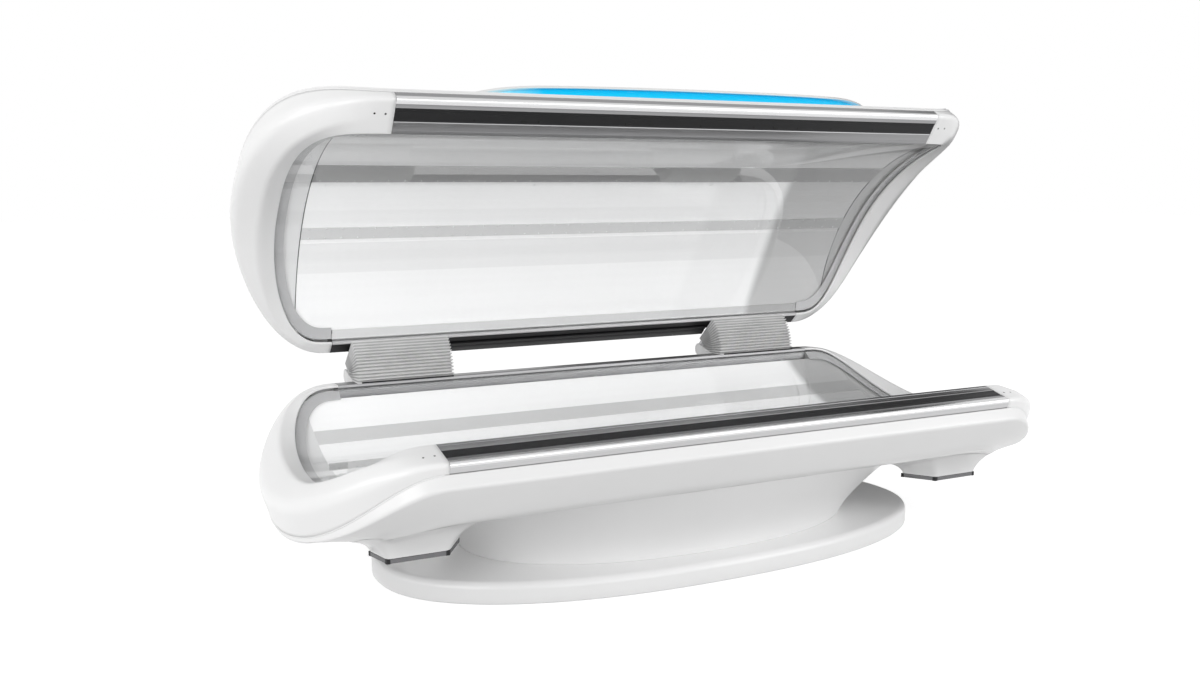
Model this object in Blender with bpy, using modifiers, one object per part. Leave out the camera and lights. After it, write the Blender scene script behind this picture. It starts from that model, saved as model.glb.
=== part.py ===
"""Red light therapy bed: a clam-shell light bed on an oval pedestal, shown with its canopy raised.

Metres, +Z up, +X along the bed, the hinge at +Y. Both halves are laid out in the closed position as
depths from the parting plane; the canopy's pieces hang on a pivot empty that is turned open.
"""

import math

import bmesh
import bpy
from mathutils import Matrix, Vector

# Where the two halves meet, and the hinge
PARTING_HEIGHT = 0.464
OPEN_ANGLE = math.radians(42.9)
HINGE_BACK = 0.544
SEAT = 0.0003

# Tunnel: the arc that both acrylic sheets follow, and the rails along it
TUNNEL_CENTRE = -0.020
CHORD_HALF = 0.420
SAGITTA = 0.158
LIP_DEPTH = 0.0105
RAIL_HALF_LENGTH = 0.820

# Front rail extrusion: widths run outward from the lip, heights away from the parting plane
FRONT_RAIL_WIDTH = 0.0935
FRONT_RAIL_HEIGHT = 0.0505
FRONT_RAIL_FALL = 0.0245
FRONT_RAIL_TUCK = 0.0065
FRONT_RAIL_NOSE = 0.014
STRIP_START = 0.033
STRIP_WIDTH = 0.034
STRIP_THICKNESS = 0.003

# Back rail extrusion
BACK_RAIL_WIDTH = 0.052
BACK_RAIL_HEIGHT = 0.049
BACK_RAIL_NOSE = 0.010

# End caps: the swell of the rim beyond the rails
CAP_WALL = 0.004
CAP_LIP_REACH = 0.178
CAP_BAND = 0.122
CAP_CREST = 0.020
CAP_FALL = 0.022
CAP_SKIRT = 0.105
CAP_TUCK = 0.028
CAP_STRAIGHT = 0.012
CAP_STATIONS = 20
CAP_POINTS = 11
LIP_SQUARENESS = 2.8
RIM_SQUARENESS = 2.08

# Sheets, lamp panels and ribs between the halves' skins
SHEET_DROP = 0.0075
SHEET_THICKNESS = 0.0060
SHEET_TUCK = 0.008
PANEL_DROP = 0.022
PANEL_THICKNESS = 0.012
PANEL_OVERRUN = 0.102
PANEL_MARGIN = 0.017
PANEL_GAP = 0.0126
RIB_GAP = 0.0007
RIB_HEIGHT = 0.028
RIB_THICKNESS = 0.012
RIB_INSET = 0.100

# Hull of the bed and shell of the canopy
SKIN_WALL = 0.002
HULL_FLOOR_DROP = 0.012
HULL_SHOULDER = 0.019
SHELL_CROWN = 0.021
SHELL_RIM = 0.007

# Stand
BASE_OVERRUN = 0.0155
BASE_WIDTH = 0.808
BASE_THICKNESS = 0.055
BASE_ROUNDING = 0.018
BASE_SQUARENESS = 2.3
PEDESTAL_INSET = 0.221
PEDESTAL_WIDTH = 0.642
PEDESTAL_FLARE = 0.225
PEDESTAL_SQUARENESS = 2.18

# Leg stubs and the plates under them
LEG_OUTREACH = 0.009
LEG_FRONT = -0.329
LEG_BACK = 0.285
LEG_WIDTH = 0.152
LEG_LENGTH = 0.085
LEG_FLARE = 0.085
LEG_ROUNDING = 0.008
LEG_HEIGHT = 0.115
FOOT_CLEARANCE = 0.156
FOOT_THICKNESS = 0.012
FOOT_OUTER_SPLAY = 0.019
FOOT_INNER_SPLAY = 0.056

# Top cowl and its light band
COWL_LENGTH = 1.52
COWL_SHIFT = 0.145
COWL_WIDTH = 0.60
COWL_CENTRE = -0.150
COWL_RISE = 0.056
COWL_BRIM = 0.010
COWL_OVERHANG = 0.014
BAND_THICKNESS = 0.008
COWL_POINTS = 48
COWL_SQUARENESS = 2.4

# Hinges and bellows
BELLOWS_INSET = 0.203
BELLOWS_WIDTH = 0.291
BELLOWS_FRONT = 0.147
BELLOWS_BACK = 0.058
BELLOWS_FOLDS = 13
FOLD_DEPTH = 0.006
BELLOWS_WALL = 0.003
LEAF_WIDTH = 0.250
LEAF_THICKNESS = 0.010
BARREL_RADIUS = 0.014
PIN_RADIUS = 0.006
PIN_CLEARANCE = 0.0003
KNUCKLES = 5
KNUCKLE_GAP = 0.0006

# Inside: drivers, fans and the mains inlet
DRIVER_LENGTH = 0.240
DRIVER_WIDTH = 0.110
DRIVER_HEIGHT = 0.040
DRIVER_SPACING = 0.200
FAN_SIZE = 0.120
FAN_DEPTH = 0.025
FAN_SPACING = 0.360
FAN_BORE = 0.112
FAN_SPIDER = 0.004
ROTOR_DIAMETER = 0.104
ROTOR_HUB = 0.040
ROTOR_HEIGHT = 0.014
ROTOR_BLADES = 7
INLET_DIAMETER = 0.036
INLET_LENGTH = 0.030
INLET_HEIGHT = 0.100

# Worked out from the sizes above
BACK_RAIL_DEPTH = LIP_DEPTH
HINGE_HEIGHT = PARTING_HEIGHT - BACK_RAIL_DEPTH + SEAT
HINGE = Vector((0.0, HINGE_BACK, HINGE_HEIGHT))
ARC_RADIUS = (CHORD_HALF ** 2 + SAGITTA ** 2) / (2.0 * SAGITTA)
CROWN_DEPTH = LIP_DEPTH + SAGITTA
CAP_EDGE_DEPTH = CROWN_DEPTH + CAP_SKIRT
FRONT_BOTTOM_DEPTH = LIP_DEPTH + FRONT_RAIL_HEIGHT
BACK_BOTTOM_DEPTH = BACK_RAIL_DEPTH + BACK_RAIL_HEIGHT
BASE_LENGTH = 2.0 * (RAIL_HALF_LENGTH + BASE_OVERRUN)
PEDESTAL_LENGTH = 2.0 * (RAIL_HALF_LENGTH - PEDESTAL_INSET)
PANEL_HALF_LENGTH = RAIL_HALF_LENGTH + PANEL_OVERRUN
RIB_SPACING = RAIL_HALF_LENGTH - RIB_INSET
LEG_CENTRE_X = RAIL_HALF_LENGTH + LEG_OUTREACH
BELLOWS_CENTRE = RAIL_HALF_LENGTH - BELLOWS_INSET
PEDESTAL_TOP = PARTING_HEIGHT - 0.80 * CAP_EDGE_DEPTH
BED, CANOPY = -1.0, 1.0


def clear_scene():
    for item in list(bpy.data.objects):
        bpy.data.objects.remove(item, do_unlink=True)


def make_collection(name):
    collection = bpy.data.collections.new(name)
    bpy.context.scene.collection.children.link(collection)
    return collection


def make_material(name, colour, roughness, metallic=0.0, alpha=1.0):
    material = bpy.data.materials.new(name)
    material.use_nodes = True
    shader = material.node_tree.nodes["Principled BSDF"]
    shader.inputs["Base Color"].default_value = (*colour, 1.0)
    shader.inputs["Roughness"].default_value = roughness
    shader.inputs["Metallic"].default_value = metallic
    shader.inputs["Alpha"].default_value = alpha
    return material


clear_scene()
PARTS = make_collection("red_light_therapy_bed")
CUTTERS = make_collection("cutters")

WHITE = (0.86, 0.86, 0.86)
PALE_GREY = (0.62, 0.62, 0.62)
SATIN = (0.55, 0.55, 0.56)
DARK = (0.05, 0.05, 0.055)
CLEAR = (0.90, 0.93, 0.95)
CYAN = (0.0, 0.52, 0.83)

# The raised canopy hangs on this empty, which lies on the hinge axis.
PIVOT = bpy.data.objects.new("canopy_pivot", None)
PIVOT.location = HINGE
PIVOT.rotation_euler = (-OPEN_ANGLE, 0.0, 0.0)
PARTS.objects.link(PIVOT)


def place(half, x, y, depth):
    """A point of one half, given by its depth from the parting plane, in that half's own space."""
    point = Vector((x, y, PARTING_HEIGHT + half * depth))
    return point - HINGE if half == CANOPY else point


def add_object(name, mesh, half=BED, material=None, cutter=False):
    item = bpy.data.objects.new(name, mesh)
    (CUTTERS if cutter else PARTS).objects.link(item)
    if half == CANOPY:
        item.parent = PIVOT
    if cutter:
        item.hide_render = True
        item.display_type = "WIRE"
    if material:
        mesh.materials.append(material)
    mesh.shade_smooth()
    mesh.set_sharp_from_angle(angle=math.radians(35))
    return item


def mesh_of(name, points, faces, outward=None):
    """A mesh from points and faces; outward names the way that its farthest face has to look."""
    mesh = bpy.data.meshes.new(name)
    mesh.from_pydata(points, [], faces)
    if outward is None:
        shape = bmesh.new()
        shape.from_mesh(mesh)
        bmesh.ops.recalc_face_normals(shape, faces=shape.faces)
        shape.to_mesh(mesh)
        shape.free()
    else:
        outer = max(mesh.polygons, key=lambda face: Vector(face.center).dot(outward))
        if Vector(outer.normal).dot(outward) < 0.0:
            mesh.flip_normals()
    return mesh


def loft_faces(rows, columns, closed, split=False):
    """Quads, or split ones, between rows of equal length; closed joins each row's end to its start."""
    faces = []
    last = columns if closed else columns - 1
    for row in range(rows - 1):
        for column in range(last):
            nxt = (column + 1) % columns
            corners = (row * columns + column, row * columns + nxt,
                       (row + 1) * columns + nxt, (row + 1) * columns + column)
            faces += [corners[:3], (corners[0], corners[2], corners[3])] if split else [corners]
    return faces


def solid_loft(name, rings, split=False):
    """A closed body through rings of equal length, with flat ends."""
    columns = len(rings[0])
    points = [point for ring in rings for point in ring]
    faces = loft_faces(len(rings), columns, True, split)
    faces.append(tuple(range(columns)))
    faces.append(tuple(range((len(rings) - 1) * columns, len(rings) * columns)))
    return mesh_of(name, points, faces)


def bar(name, outline, half_length, half, centre=0.0):
    """An extrusion along X of an outline given as (y, depth) points."""
    ends = [centre - half_length, centre + half_length]
    return solid_loft(name, [[place(half, x, y, depth) for y, depth in outline] for x in ends])


def arc(centre, radius, start, stop, steps):
    angles = [start + (stop - start) * step / steps for step in range(steps + 1)]
    return [(centre[0] + radius * math.cos(angle), centre[1] + radius * math.sin(angle)) for angle in angles]


def rounded_path(points, radii, steps=4):
    """A polyline whose inner corners are replaced by arcs of the given radii."""
    path = [points[0]]
    for before, corner, after, radius in zip(points, points[1:], points[2:], radii):
        corner = Vector(corner)
        towards = (Vector(before) - corner).normalized()
        onward = (Vector(after) - corner).normalized()
        half_angle = math.acos(max(-1.0, min(1.0, towards.dot(onward)))) / 2.0
        reach = min(radius / math.tan(half_angle), 0.48 * (Vector(before) - corner).length,
                    0.48 * (Vector(after) - corner).length)
        for step in range(steps + 1):
            share = step / steps
            start = corner + towards * reach * (1.0 - share)
            stop = corner + onward * reach * share
            path.append(tuple(start.lerp(stop, share)))
    path.append(points[-1])
    return path


def resample(path, count):
    """The same path with a set number of points, evenly spaced along it."""
    lengths = [0.0]
    for first, second in zip(path, path[1:]):
        lengths.append(lengths[-1] + math.dist(first, second))
    result = []
    for step in range(count):
        target = lengths[-1] * step / (count - 1)
        index = max(i for i, length in enumerate(lengths[:-1]) if length <= target + 1e-12)
        span = lengths[index + 1] - lengths[index]
        share = (target - lengths[index]) / span if span else 0.0
        result.append(tuple(a + (b - a) * share for a, b in zip(path[index], path[index + 1])))
    return result


def superellipse(length, width, squareness, count, centre=(0.0, 0.0)):
    points = []
    for step in range(count):
        angle = 2.0 * math.pi * step / count
        cosine, sine = math.cos(angle), math.sin(angle)
        x = math.copysign(abs(cosine) ** (2.0 / squareness), cosine) * length / 2.0
        y = math.copysign(abs(sine) ** (2.0 / squareness), sine) * width / 2.0
        points.append((centre[0] + x, centre[1] + y))
    return points


def tunnel_depth(share):
    """Depth of the tunnel's arc, at a share of its half chord from the centre."""
    offset = CHORD_HALF * share
    return LIP_DEPTH + math.sqrt(ARC_RADIUS ** 2 - offset ** 2) - (ARC_RADIUS - SAGITTA)


def boolean(item, cutter, operation="DIFFERENCE"):
    modifier = item.modifiers.new("cut", "BOOLEAN")
    modifier.operation = operation
    modifier.object = cutter
    return item


def wall(item, thickness):
    modifier = item.modifiers.new("wall", "SOLIDIFY")
    modifier.thickness = thickness
    modifier.offset = -1.0
    modifier.use_even_offset = False
    return item


# Sections that the rails and the end caps share, as (outward, depth) from the lip
def front_section():
    corners = [(0.0, 0.0), (FRONT_RAIL_WIDTH, FRONT_RAIL_FALL),
               (FRONT_RAIL_WIDTH - FRONT_RAIL_TUCK, FRONT_RAIL_HEIGHT)]
    return rounded_path(corners, [FRONT_RAIL_NOSE])


def back_section():
    corners = [(0.0, 0.0), (BACK_RAIL_WIDTH, 0.0), (BACK_RAIL_WIDTH, BACK_RAIL_HEIGHT)]
    return rounded_path(corners, [BACK_RAIL_NOSE])


def crown_section():
    corners = [(0.0, 0.0), (0.38 * CAP_BAND, -CAP_CREST), (CAP_BAND, CAP_FALL),
               (CAP_BAND - CAP_TUCK, CAP_SKIRT)]
    return rounded_path(corners, [0.36 * CAP_BAND, 0.30 * CAP_BAND])


def swept_station(angle, front, back, reach, start, squareness, crown_depth, end_depths):
    """One point of a line that leaves the front rail along X, swells round the end and meets the back."""
    sine, cosine = math.sin(angle), math.cos(angle)
    share = math.copysign(abs(sine) ** (2.0 / squareness), sine)
    x = start + reach * max(cosine, 0.0) ** (2.0 / squareness)
    y = TUNNEL_CENTRE + share * (back if share > 0.0 else front)
    blend = abs(share) ** 5
    end_depth = end_depths[1] if share > 0.0 else end_depths[0]
    return x, y, tunnel_depth(share) + (1.0 - blend) * crown_depth + blend * end_depth


def end_cap(name, half, side, material):
    """The moulded rim: the rails' sections at its two ends swell into the crown's section between them."""
    fronts = resample(front_section(), CAP_POINTS)
    backs = resample(back_section(), CAP_POINTS)
    crowns = resample(crown_section(), CAP_POINTS)
    angles = [math.pi * (step / CAP_STATIONS - 0.5) for step in range(CAP_STATIONS + 1)]
    rows = []
    for angle in angles:
        row = []
        for index, (front, back, crown) in enumerate(zip(fronts, backs, crowns)):
            share = index / (CAP_POINTS - 1)
            squareness = LIP_SQUARENESS + (RIM_SQUARENESS - LIP_SQUARENESS) * min(1.0, 1.6 * share)
            start = RAIL_HALF_LENGTH + SEAT + CAP_STRAIGHT
            reach = CAP_LIP_REACH - CAP_STRAIGHT + crown[0]
            row.append(swept_station(angle, CHORD_HALF + front[0], CHORD_HALF + back[0], reach, start,
                                     squareness, crown[1], (front[1], back[1])))
        rows.append(row)
    ends = [[(RAIL_HALF_LENGTH + SEAT, y, depth) for _, y, depth in rows[end]] for end in (0, -1)]
    rows = [ends[0]] + rows + [ends[1]]
    points = [place(half, side * x, y, depth) for row in rows for x, y, depth in row]
    mesh = mesh_of(name, points, loft_faces(len(rows), CAP_POINTS, False), Vector((side, 0.0, 0.0)))
    return wall(add_object(name, mesh, half, material), CAP_WALL)


def front_rail(name, half, material):
    """Extruded front rail: sloping top with a groove for the inlay strip, a round nose and a hollow back."""
    outline = front_section()
    slope = FRONT_RAIL_FALL / FRONT_RAIL_WIDTH
    groove = [(STRIP_START, STRIP_START * slope),
              (STRIP_START, STRIP_START * slope + STRIP_THICKNESS + SEAT),
              (STRIP_START + STRIP_WIDTH, (STRIP_START + STRIP_WIDTH) * slope + STRIP_THICKNESS + SEAT),
              (STRIP_START + STRIP_WIDTH, (STRIP_START + STRIP_WIDTH) * slope)]
    foot = [(0.0, FRONT_RAIL_HEIGHT)]
    points = [outline[0]] + groove + outline[1:] + foot
    lip = TUNNEL_CENTRE - CHORD_HALF
    mesh = bar(name, [(lip - u, LIP_DEPTH + v) for u, v in points], RAIL_HALF_LENGTH, half)
    return add_object(name, mesh, half, material)


def inlay_strip(name, half, material):
    slope = FRONT_RAIL_FALL / FRONT_RAIL_WIDTH
    near, far = STRIP_START + SEAT, STRIP_START + STRIP_WIDTH - SEAT
    points = [(near, near * slope), (far, far * slope),
              (far, far * slope + STRIP_THICKNESS), (near, near * slope + STRIP_THICKNESS)]
    lip = TUNNEL_CENTRE - CHORD_HALF
    mesh = bar(name, [(lip - u, LIP_DEPTH + v) for u, v in points], RAIL_HALF_LENGTH, half)
    return add_object(name, mesh, half, material)


def back_rail(name, half, material):
    points = back_section() + [(0.0, BACK_RAIL_HEIGHT)]
    lip = TUNNEL_CENTRE + CHORD_HALF
    mesh = bar(name, [(lip + u, BACK_RAIL_DEPTH + v) for u, v in points], RAIL_HALF_LENGTH, half)
    return add_object(name, mesh, half, material)


def arc_plate(name, half, shares, reach, drop, thickness, material, centre=0.0):
    """A curved plate under the tunnel's arc; reach gives its half length at a share of the half chord."""
    rows = []
    for share in shares:
        y = TUNNEL_CENTRE + CHORD_HALF * share
        depth = tunnel_depth(share) + drop
        half_length = reach(share)
        rows.append([place(half, centre + x, y, d) for x, d in
                     ((-half_length, depth), (half_length, depth),
                      (half_length, depth + thickness), (-half_length, depth + thickness))])
    return add_object(name, solid_loft(name, rows), half, material)


def even_shares(first, last, steps):
    return [first + (last - first) * step / steps for step in range(steps + 1)]


def lip_reach(share):
    """Half length of the tunnel between the end caps' lips, at a share of the half chord."""
    swell = max(0.0, 1.0 - abs(share) ** LIP_SQUARENESS) ** (1.0 / LIP_SQUARENESS)
    return RAIL_HALF_LENGTH + CAP_STRAIGHT + (CAP_LIP_REACH - CAP_STRAIGHT + SHEET_TUCK) * swell


def edge_share(share):
    """How far the end caps' lower edge has come from the rails' bottom (0) to the crown's edge (1)."""
    height = BACK_RAIL_HEIGHT if share > 0.0 else FRONT_RAIL_HEIGHT
    blend = abs(share) ** 5
    edge = tunnel_depth(share) - LIP_DEPTH + (1.0 - blend) * CAP_SKIRT + blend * height
    return (edge - height) / (SAGITTA + CAP_SKIRT - height)


def skin_rings(front, back, end):
    """Rings of a skin, from its rim in to its floor, through the points of its front, back and end paths."""
    swell = end[0][0] - RAIL_HALF_LENGTH
    width = TUNNEL_CENTRE - front[0][0]
    angles = [math.pi * (step / CAP_STATIONS - 0.5) for step in range(CAP_STATIONS + 1)]
    rings = []
    for (front_y, front_depth), (back_y, back_depth), (end_x, end_depth) in zip(front, back, end):
        reach = swell * (TUNNEL_CENTRE - front_y) / width
        right = []
        for angle in angles:
            sine, cosine = math.sin(angle), max(math.cos(angle), 0.0)
            share = math.copysign(abs(sine) ** (2.0 / RIM_SQUARENESS), sine)
            x = end_x - reach + reach * cosine ** (2.0 / RIM_SQUARENESS)
            side_y, side_depth = (back_y, back_depth) if share > 0.0 else (front_y, front_depth)
            y = TUNNEL_CENTRE + abs(share) * (side_y - TUNNEL_CENTRE)
            depth = side_depth + (end_depth - side_depth) * edge_share(share)
            right.append((x, y, depth))
        rings.append(right + [(-x, y, depth) for x, y, depth in reversed(right)])
    return rings


def hull_paths():
    """Front, back and end profiles of the bed's hull: a shoulder under the rails, then a belly to the floor."""
    front_y = TUNNEL_CENTRE - CHORD_HALF - FRONT_RAIL_WIDTH + FRONT_RAIL_TUCK
    back_y = TUNNEL_CENTRE + CHORD_HALF + BACK_RAIL_WIDTH
    floor = CAP_EDGE_DEPTH + HULL_FLOOR_DROP
    fall = floor - FRONT_BOTTOM_DEPTH
    end_x = RAIL_HALF_LENGTH + CAP_LIP_REACH + CAP_BAND - CAP_TUCK
    radii = [0.65 * HULL_SHOULDER, 0.24 * CHORD_HALF, 0.70 * CHORD_HALF]
    front = rounded_path([(front_y, FRONT_BOTTOM_DEPTH + SEAT),
                          (front_y - HULL_SHOULDER, FRONT_BOTTOM_DEPTH + 0.13 * fall),
                          (front_y + 0.12 * CHORD_HALF, FRONT_BOTTOM_DEPTH + 0.58 * fall),
                          (front_y + 0.55 * CHORD_HALF, FRONT_BOTTOM_DEPTH + 0.83 * fall),
                          (TUNNEL_CENTRE - 0.31 * CHORD_HALF, floor)], radii, 2)
    back = rounded_path([(back_y, BACK_BOTTOM_DEPTH + SEAT),
                         (back_y + HULL_SHOULDER, FRONT_BOTTOM_DEPTH + 0.13 * fall),
                         (back_y - 0.05 * CHORD_HALF, FRONT_BOTTOM_DEPTH + 0.58 * fall),
                         (back_y - 0.38 * CHORD_HALF, FRONT_BOTTOM_DEPTH + 0.83 * fall),
                         (TUNNEL_CENTRE + 0.31 * CHORD_HALF, floor)], radii, 2)
    edge = CAP_EDGE_DEPTH + 3 * SEAT
    end = rounded_path([(end_x, edge), (end_x, (edge + floor) / 2),
                        (end_x - 0.22 * CHORD_HALF, floor - 0.08 * HULL_FLOOR_DROP),
                        (end_x - 0.57 * CHORD_HALF, floor), (0.51 * RAIL_HALF_LENGTH, floor)], radii, 2)
    return front, back, end


def shell_paths():
    """Front, back and end profiles of the canopy's shell: an upright rim, then one low dome."""
    front_y = TUNNEL_CENTRE - CHORD_HALF - FRONT_RAIL_WIDTH + FRONT_RAIL_TUCK
    back_y = TUNNEL_CENTRE + CHORD_HALF + BACK_RAIL_WIDTH
    crown = CAP_EDGE_DEPTH + SHELL_CROWN
    rise = crown - FRONT_BOTTOM_DEPTH
    end_x = RAIL_HALF_LENGTH + CAP_LIP_REACH + CAP_BAND - CAP_TUCK
    radii = [SHELL_RIM, 0.48 * CHORD_HALF, 0.70 * CHORD_HALF]
    front = rounded_path([(front_y, FRONT_BOTTOM_DEPTH + SEAT),
                          (front_y, FRONT_BOTTOM_DEPTH + SHELL_RIM),
                          (front_y + 0.36 * CHORD_HALF, FRONT_BOTTOM_DEPTH + 0.64 * rise),
                          (front_y + 0.76 * CHORD_HALF, FRONT_BOTTOM_DEPTH + 0.94 * rise),
                          (TUNNEL_CENTRE - 0.19 * CHORD_HALF, crown)], radii, 2)
    back = rounded_path([(back_y, BACK_BOTTOM_DEPTH + SEAT),
                         (back_y + 2 * SHELL_RIM, FRONT_BOTTOM_DEPTH + 0.25 * rise),
                         (back_y - 0.14 * CHORD_HALF, FRONT_BOTTOM_DEPTH + 0.66 * rise),
                         (back_y - 0.55 * CHORD_HALF, FRONT_BOTTOM_DEPTH + 0.95 * rise),
                         (TUNNEL_CENTRE + 0.19 * CHORD_HALF, crown)], [0.12 * CHORD_HALF] + radii[1:], 2)
    edge = CAP_EDGE_DEPTH + 3 * SEAT
    end = rounded_path([(end_x, edge), (end_x, edge + SHELL_RIM),
                        (end_x - 0.36 * CHORD_HALF, crown - 0.14 * SHELL_CROWN),
                        (end_x - 0.83 * CHORD_HALF, crown - 0.05 * SHELL_CROWN),
                        (0.37 * RAIL_HALF_LENGTH, crown)], radii, 2)
    return front, back, end


def skin_mesh(name, half, paths):
    """The open skin, from its rim to its floor."""
    rings = [[place(half, x, y, depth) for x, y, depth in ring] for ring in skin_rings(*paths)]
    columns = len(rings[0])
    points = [point for ring in rings for point in ring]
    faces = loft_faces(len(rings), columns, True, True)
    faces.append(tuple(range((len(rings) - 1) * columns, len(rings) * columns)))
    return mesh_of(name, points, faces, Vector((0.0, 0.0, half)))


def skin_block(name, half, paths):
    """A cutter that fills a skin out to a seat's gap beyond its outer face."""
    rings = skin_rings(*paths)
    rings = [[(x, y, 0.0) for x, y, _ in rings[0]]] + rings
    rings = [[place(half, x, y, depth + 2 * SEAT) for x, y, depth in ring] for ring in rings]
    return add_object(name, solid_loft(name, rings, True), half, cutter=True)


def base_plate(material):
    rings = []
    for inset, height in [(BASE_ROUNDING / 4, 0.0), (0.0, BASE_ROUNDING / 4)] + [
            (BASE_ROUNDING * (1.0 - math.cos(angle)),
             BASE_THICKNESS - BASE_ROUNDING * (1.0 - math.sin(angle)))
            for angle in (0.0, math.pi / 6, math.pi / 3, math.pi / 2)]:
        outline = superellipse(BASE_LENGTH - 2 * inset, BASE_WIDTH - 2 * inset, BASE_SQUARENESS, 48)
        rings.append([(x, y, height) for x, y in outline])
    return add_object("base_plate", solid_loft("base_plate", rings), material=material)


def pedestal_flare(share):
    """Growth of the pedestal's half length at a share of its height; its width grows half as much."""
    return PEDESTAL_FLARE * (0.35 * share + 0.65 * share ** 1.6)


def pedestal_rings(swell=0.0):
    """The pedestal flares from its foot on the plate to the hull; its top lies inside the hull's outline."""
    foot = BASE_THICKNESS + SEAT
    top = PEDESTAL_TOP
    rings = []
    for step in range(7):
        share = step / 6
        flare = pedestal_flare(share)
        outline = superellipse(PEDESTAL_LENGTH + 2 * (flare + swell), PEDESTAL_WIDTH + flare + 2 * swell,
                               PEDESTAL_SQUARENESS, 48)
        rings.append([(x, y, foot - swell + (top - foot) * share) for x, y in outline])
    return rings


def foot_corners(side, front, grow=0.0):
    """Corners of a foot plate, which widens from the bed's edge inward, more so towards the bed's middle."""
    edge, inward = (LEG_FRONT, 1.0) if front else (LEG_BACK, -1.0)
    outer_x, inner_x = LEG_CENTRE_X + LEG_WIDTH / 2 + grow, LEG_CENTRE_X - LEG_WIDTH / 2 - grow
    near, far = edge - inward * grow, edge + inward * (LEG_LENGTH + grow)
    return [(side * inner_x, near), (side * outer_x, near), (side * (outer_x + FOOT_OUTER_SPLAY), far),
            (side * (inner_x - FOOT_INNER_SPLAY), far)]


def leg_rings(side, front):
    """A stub that widens upward from its foot plate into the hull."""
    foot = FOOT_CLEARANCE + FOOT_THICKNESS + SEAT
    rings = []
    for step in range(6):
        share = step / 5
        flare = LEG_FLARE * share ** 2.2
        corners = foot_corners(side, front, flare)
        loop = [corners[-1]] + corners + [corners[0]]
        outline = rounded_path(loop, [LEG_ROUNDING + flare / 2] * 4, 5)[1:-1]
        rings.append([(x, y, foot + share * LEG_HEIGHT) for x, y in outline])
    return rings


def foot_plate(name, side, front, material):
    """A flat metal plate under each stub."""
    heights = (FOOT_CLEARANCE, FOOT_CLEARANCE + FOOT_THICKNESS)
    rings = [[(x, y, z) for x, y in foot_corners(side, front)] for z in heights]
    return add_object(name, solid_loft(name, rings), material=material)


def skin_depth(path, y):
    """Depth of a skin's front or back path at a distance y along the tunnel's width."""
    ordered = sorted(path)
    for (y0, d0), (y1, d1) in zip(ordered, ordered[1:]):
        if y0 <= y <= y1 and y1 > y0:
            return d0 + (d1 - d0) * (y - y0) / (y1 - y0)
    return ordered[-1][1] if y > ordered[-1][0] else ordered[0][1]


def crown_depth_at(y):
    front, back, _ = shell_paths()
    if y < front[-1][0]:
        return skin_depth(front, y)
    if y > back[-1][0]:
        return skin_depth(back, y)
    return front[-1][1]


def top_cowl(material):
    """A low hood on the canopy's crown: a brim that overhangs its wall all round, under a domed top."""
    rings = []
    core = 2.0 * (COWL_OVERHANG + BAND_THICKNESS)
    levels = [(core, -COWL_RISE), (core, COWL_RISE - COWL_BRIM), (0.0, COWL_RISE - COWL_BRIM),
              (0.0, COWL_RISE - 0.3 * COWL_BRIM), (0.6 * COWL_BRIM, COWL_RISE),
              (0.23 * COWL_WIDTH, 1.07 * COWL_RISE), (0.57 * COWL_WIDTH, 1.11 * COWL_RISE)]
    for inset, rise in levels:
        outline = superellipse(COWL_LENGTH - inset, COWL_WIDTH - inset, COWL_SQUARENESS, COWL_POINTS,
                               (COWL_SHIFT, COWL_CENTRE))
        rings.append([place(CANOPY, x, y, crown_depth_at(y) + rise) for x, y in outline])
    return add_object("top_cowl", solid_loft("top_cowl", rings), CANOPY, material)


def light_band(material):
    """The lit strip under the front of the cowl's brim."""
    rows = []
    for step in range(1, COWL_POINTS // 2):
        angle = math.pi + 2.0 * math.pi * step / COWL_POINTS
        row = []
        for inset in (2.0 * COWL_OVERHANG, 2.0 * (COWL_OVERHANG + BAND_THICKNESS) - 2.0 * SEAT):
            cosine, sine = math.cos(angle), math.sin(angle)
            power = 2.0 / COWL_SQUARENESS
            x = COWL_SHIFT + math.copysign(abs(cosine) ** power, cosine) * (COWL_LENGTH - inset) / 2.0
            y = COWL_CENTRE - abs(sine) ** power * (COWL_WIDTH - inset) / 2.0
            row.append((x, y))
        heights = (-COWL_RISE, COWL_RISE - COWL_BRIM - 4 * SEAT)
        rows.append([place(CANOPY, x, y, crown_depth_at(y) + rise) for (x, y), rise in
                     ((row[0], heights[0]), (row[0], heights[1]), (row[1], heights[1]), (row[1], heights[0]))])
    return add_object("light_band", solid_loft("light_band", rows), CANOPY, material)


def bellows(name, centre, material):
    """Accordion cover over a hinge: folds that fan out about the hinge axis, round a plain bore."""
    lift = 2.0 * BACK_RAIL_DEPTH - 2.0 * SEAT
    half_width = BELLOWS_WIDTH / 2

    def ring(share, inset):
        turn = Matrix.Rotation(-OPEN_ANGLE * share, 3, "X")
        corners = []
        for side, radius in ((-1, BELLOWS_FRONT - inset), (1, BELLOWS_FRONT - inset),
                             (1, BELLOWS_BACK + inset), (-1, BELLOWS_BACK + inset)):
            flat = Vector((0.0, -radius, lift * share))
            corners.append(HINGE + turn @ flat + Vector((centre + side * (half_width - inset), 0.0, 0.0)))
        return corners

    creases = 2 * BELLOWS_FOLDS
    outer = [ring(step / creases, FOLD_DEPTH if step % 2 else 0.0) for step in range(creases + 1)]
    bore = [ring(step / 6, FOLD_DEPTH + BELLOWS_WALL) for step in reversed(range(7))]
    rings = outer + bore + [outer[0]]
    points = [point for row in rings[:-1] for point in row]
    faces = loft_faces(len(rings) - 1, 4, True)
    last = 4 * (len(rings) - 2)
    faces += [(last + column, last + (column + 1) % 4, (column + 1) % 4, column) for column in range(4)]
    return add_object(name, mesh_of(name, points, faces), material=material)


def knuckle_span(index, centre):
    length = LEAF_WIDTH / KNUCKLES
    start = centre - LEAF_WIDTH / 2 + index * length
    return start + KNUCKLE_GAP / 2, start + length - KNUCKLE_GAP / 2


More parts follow.
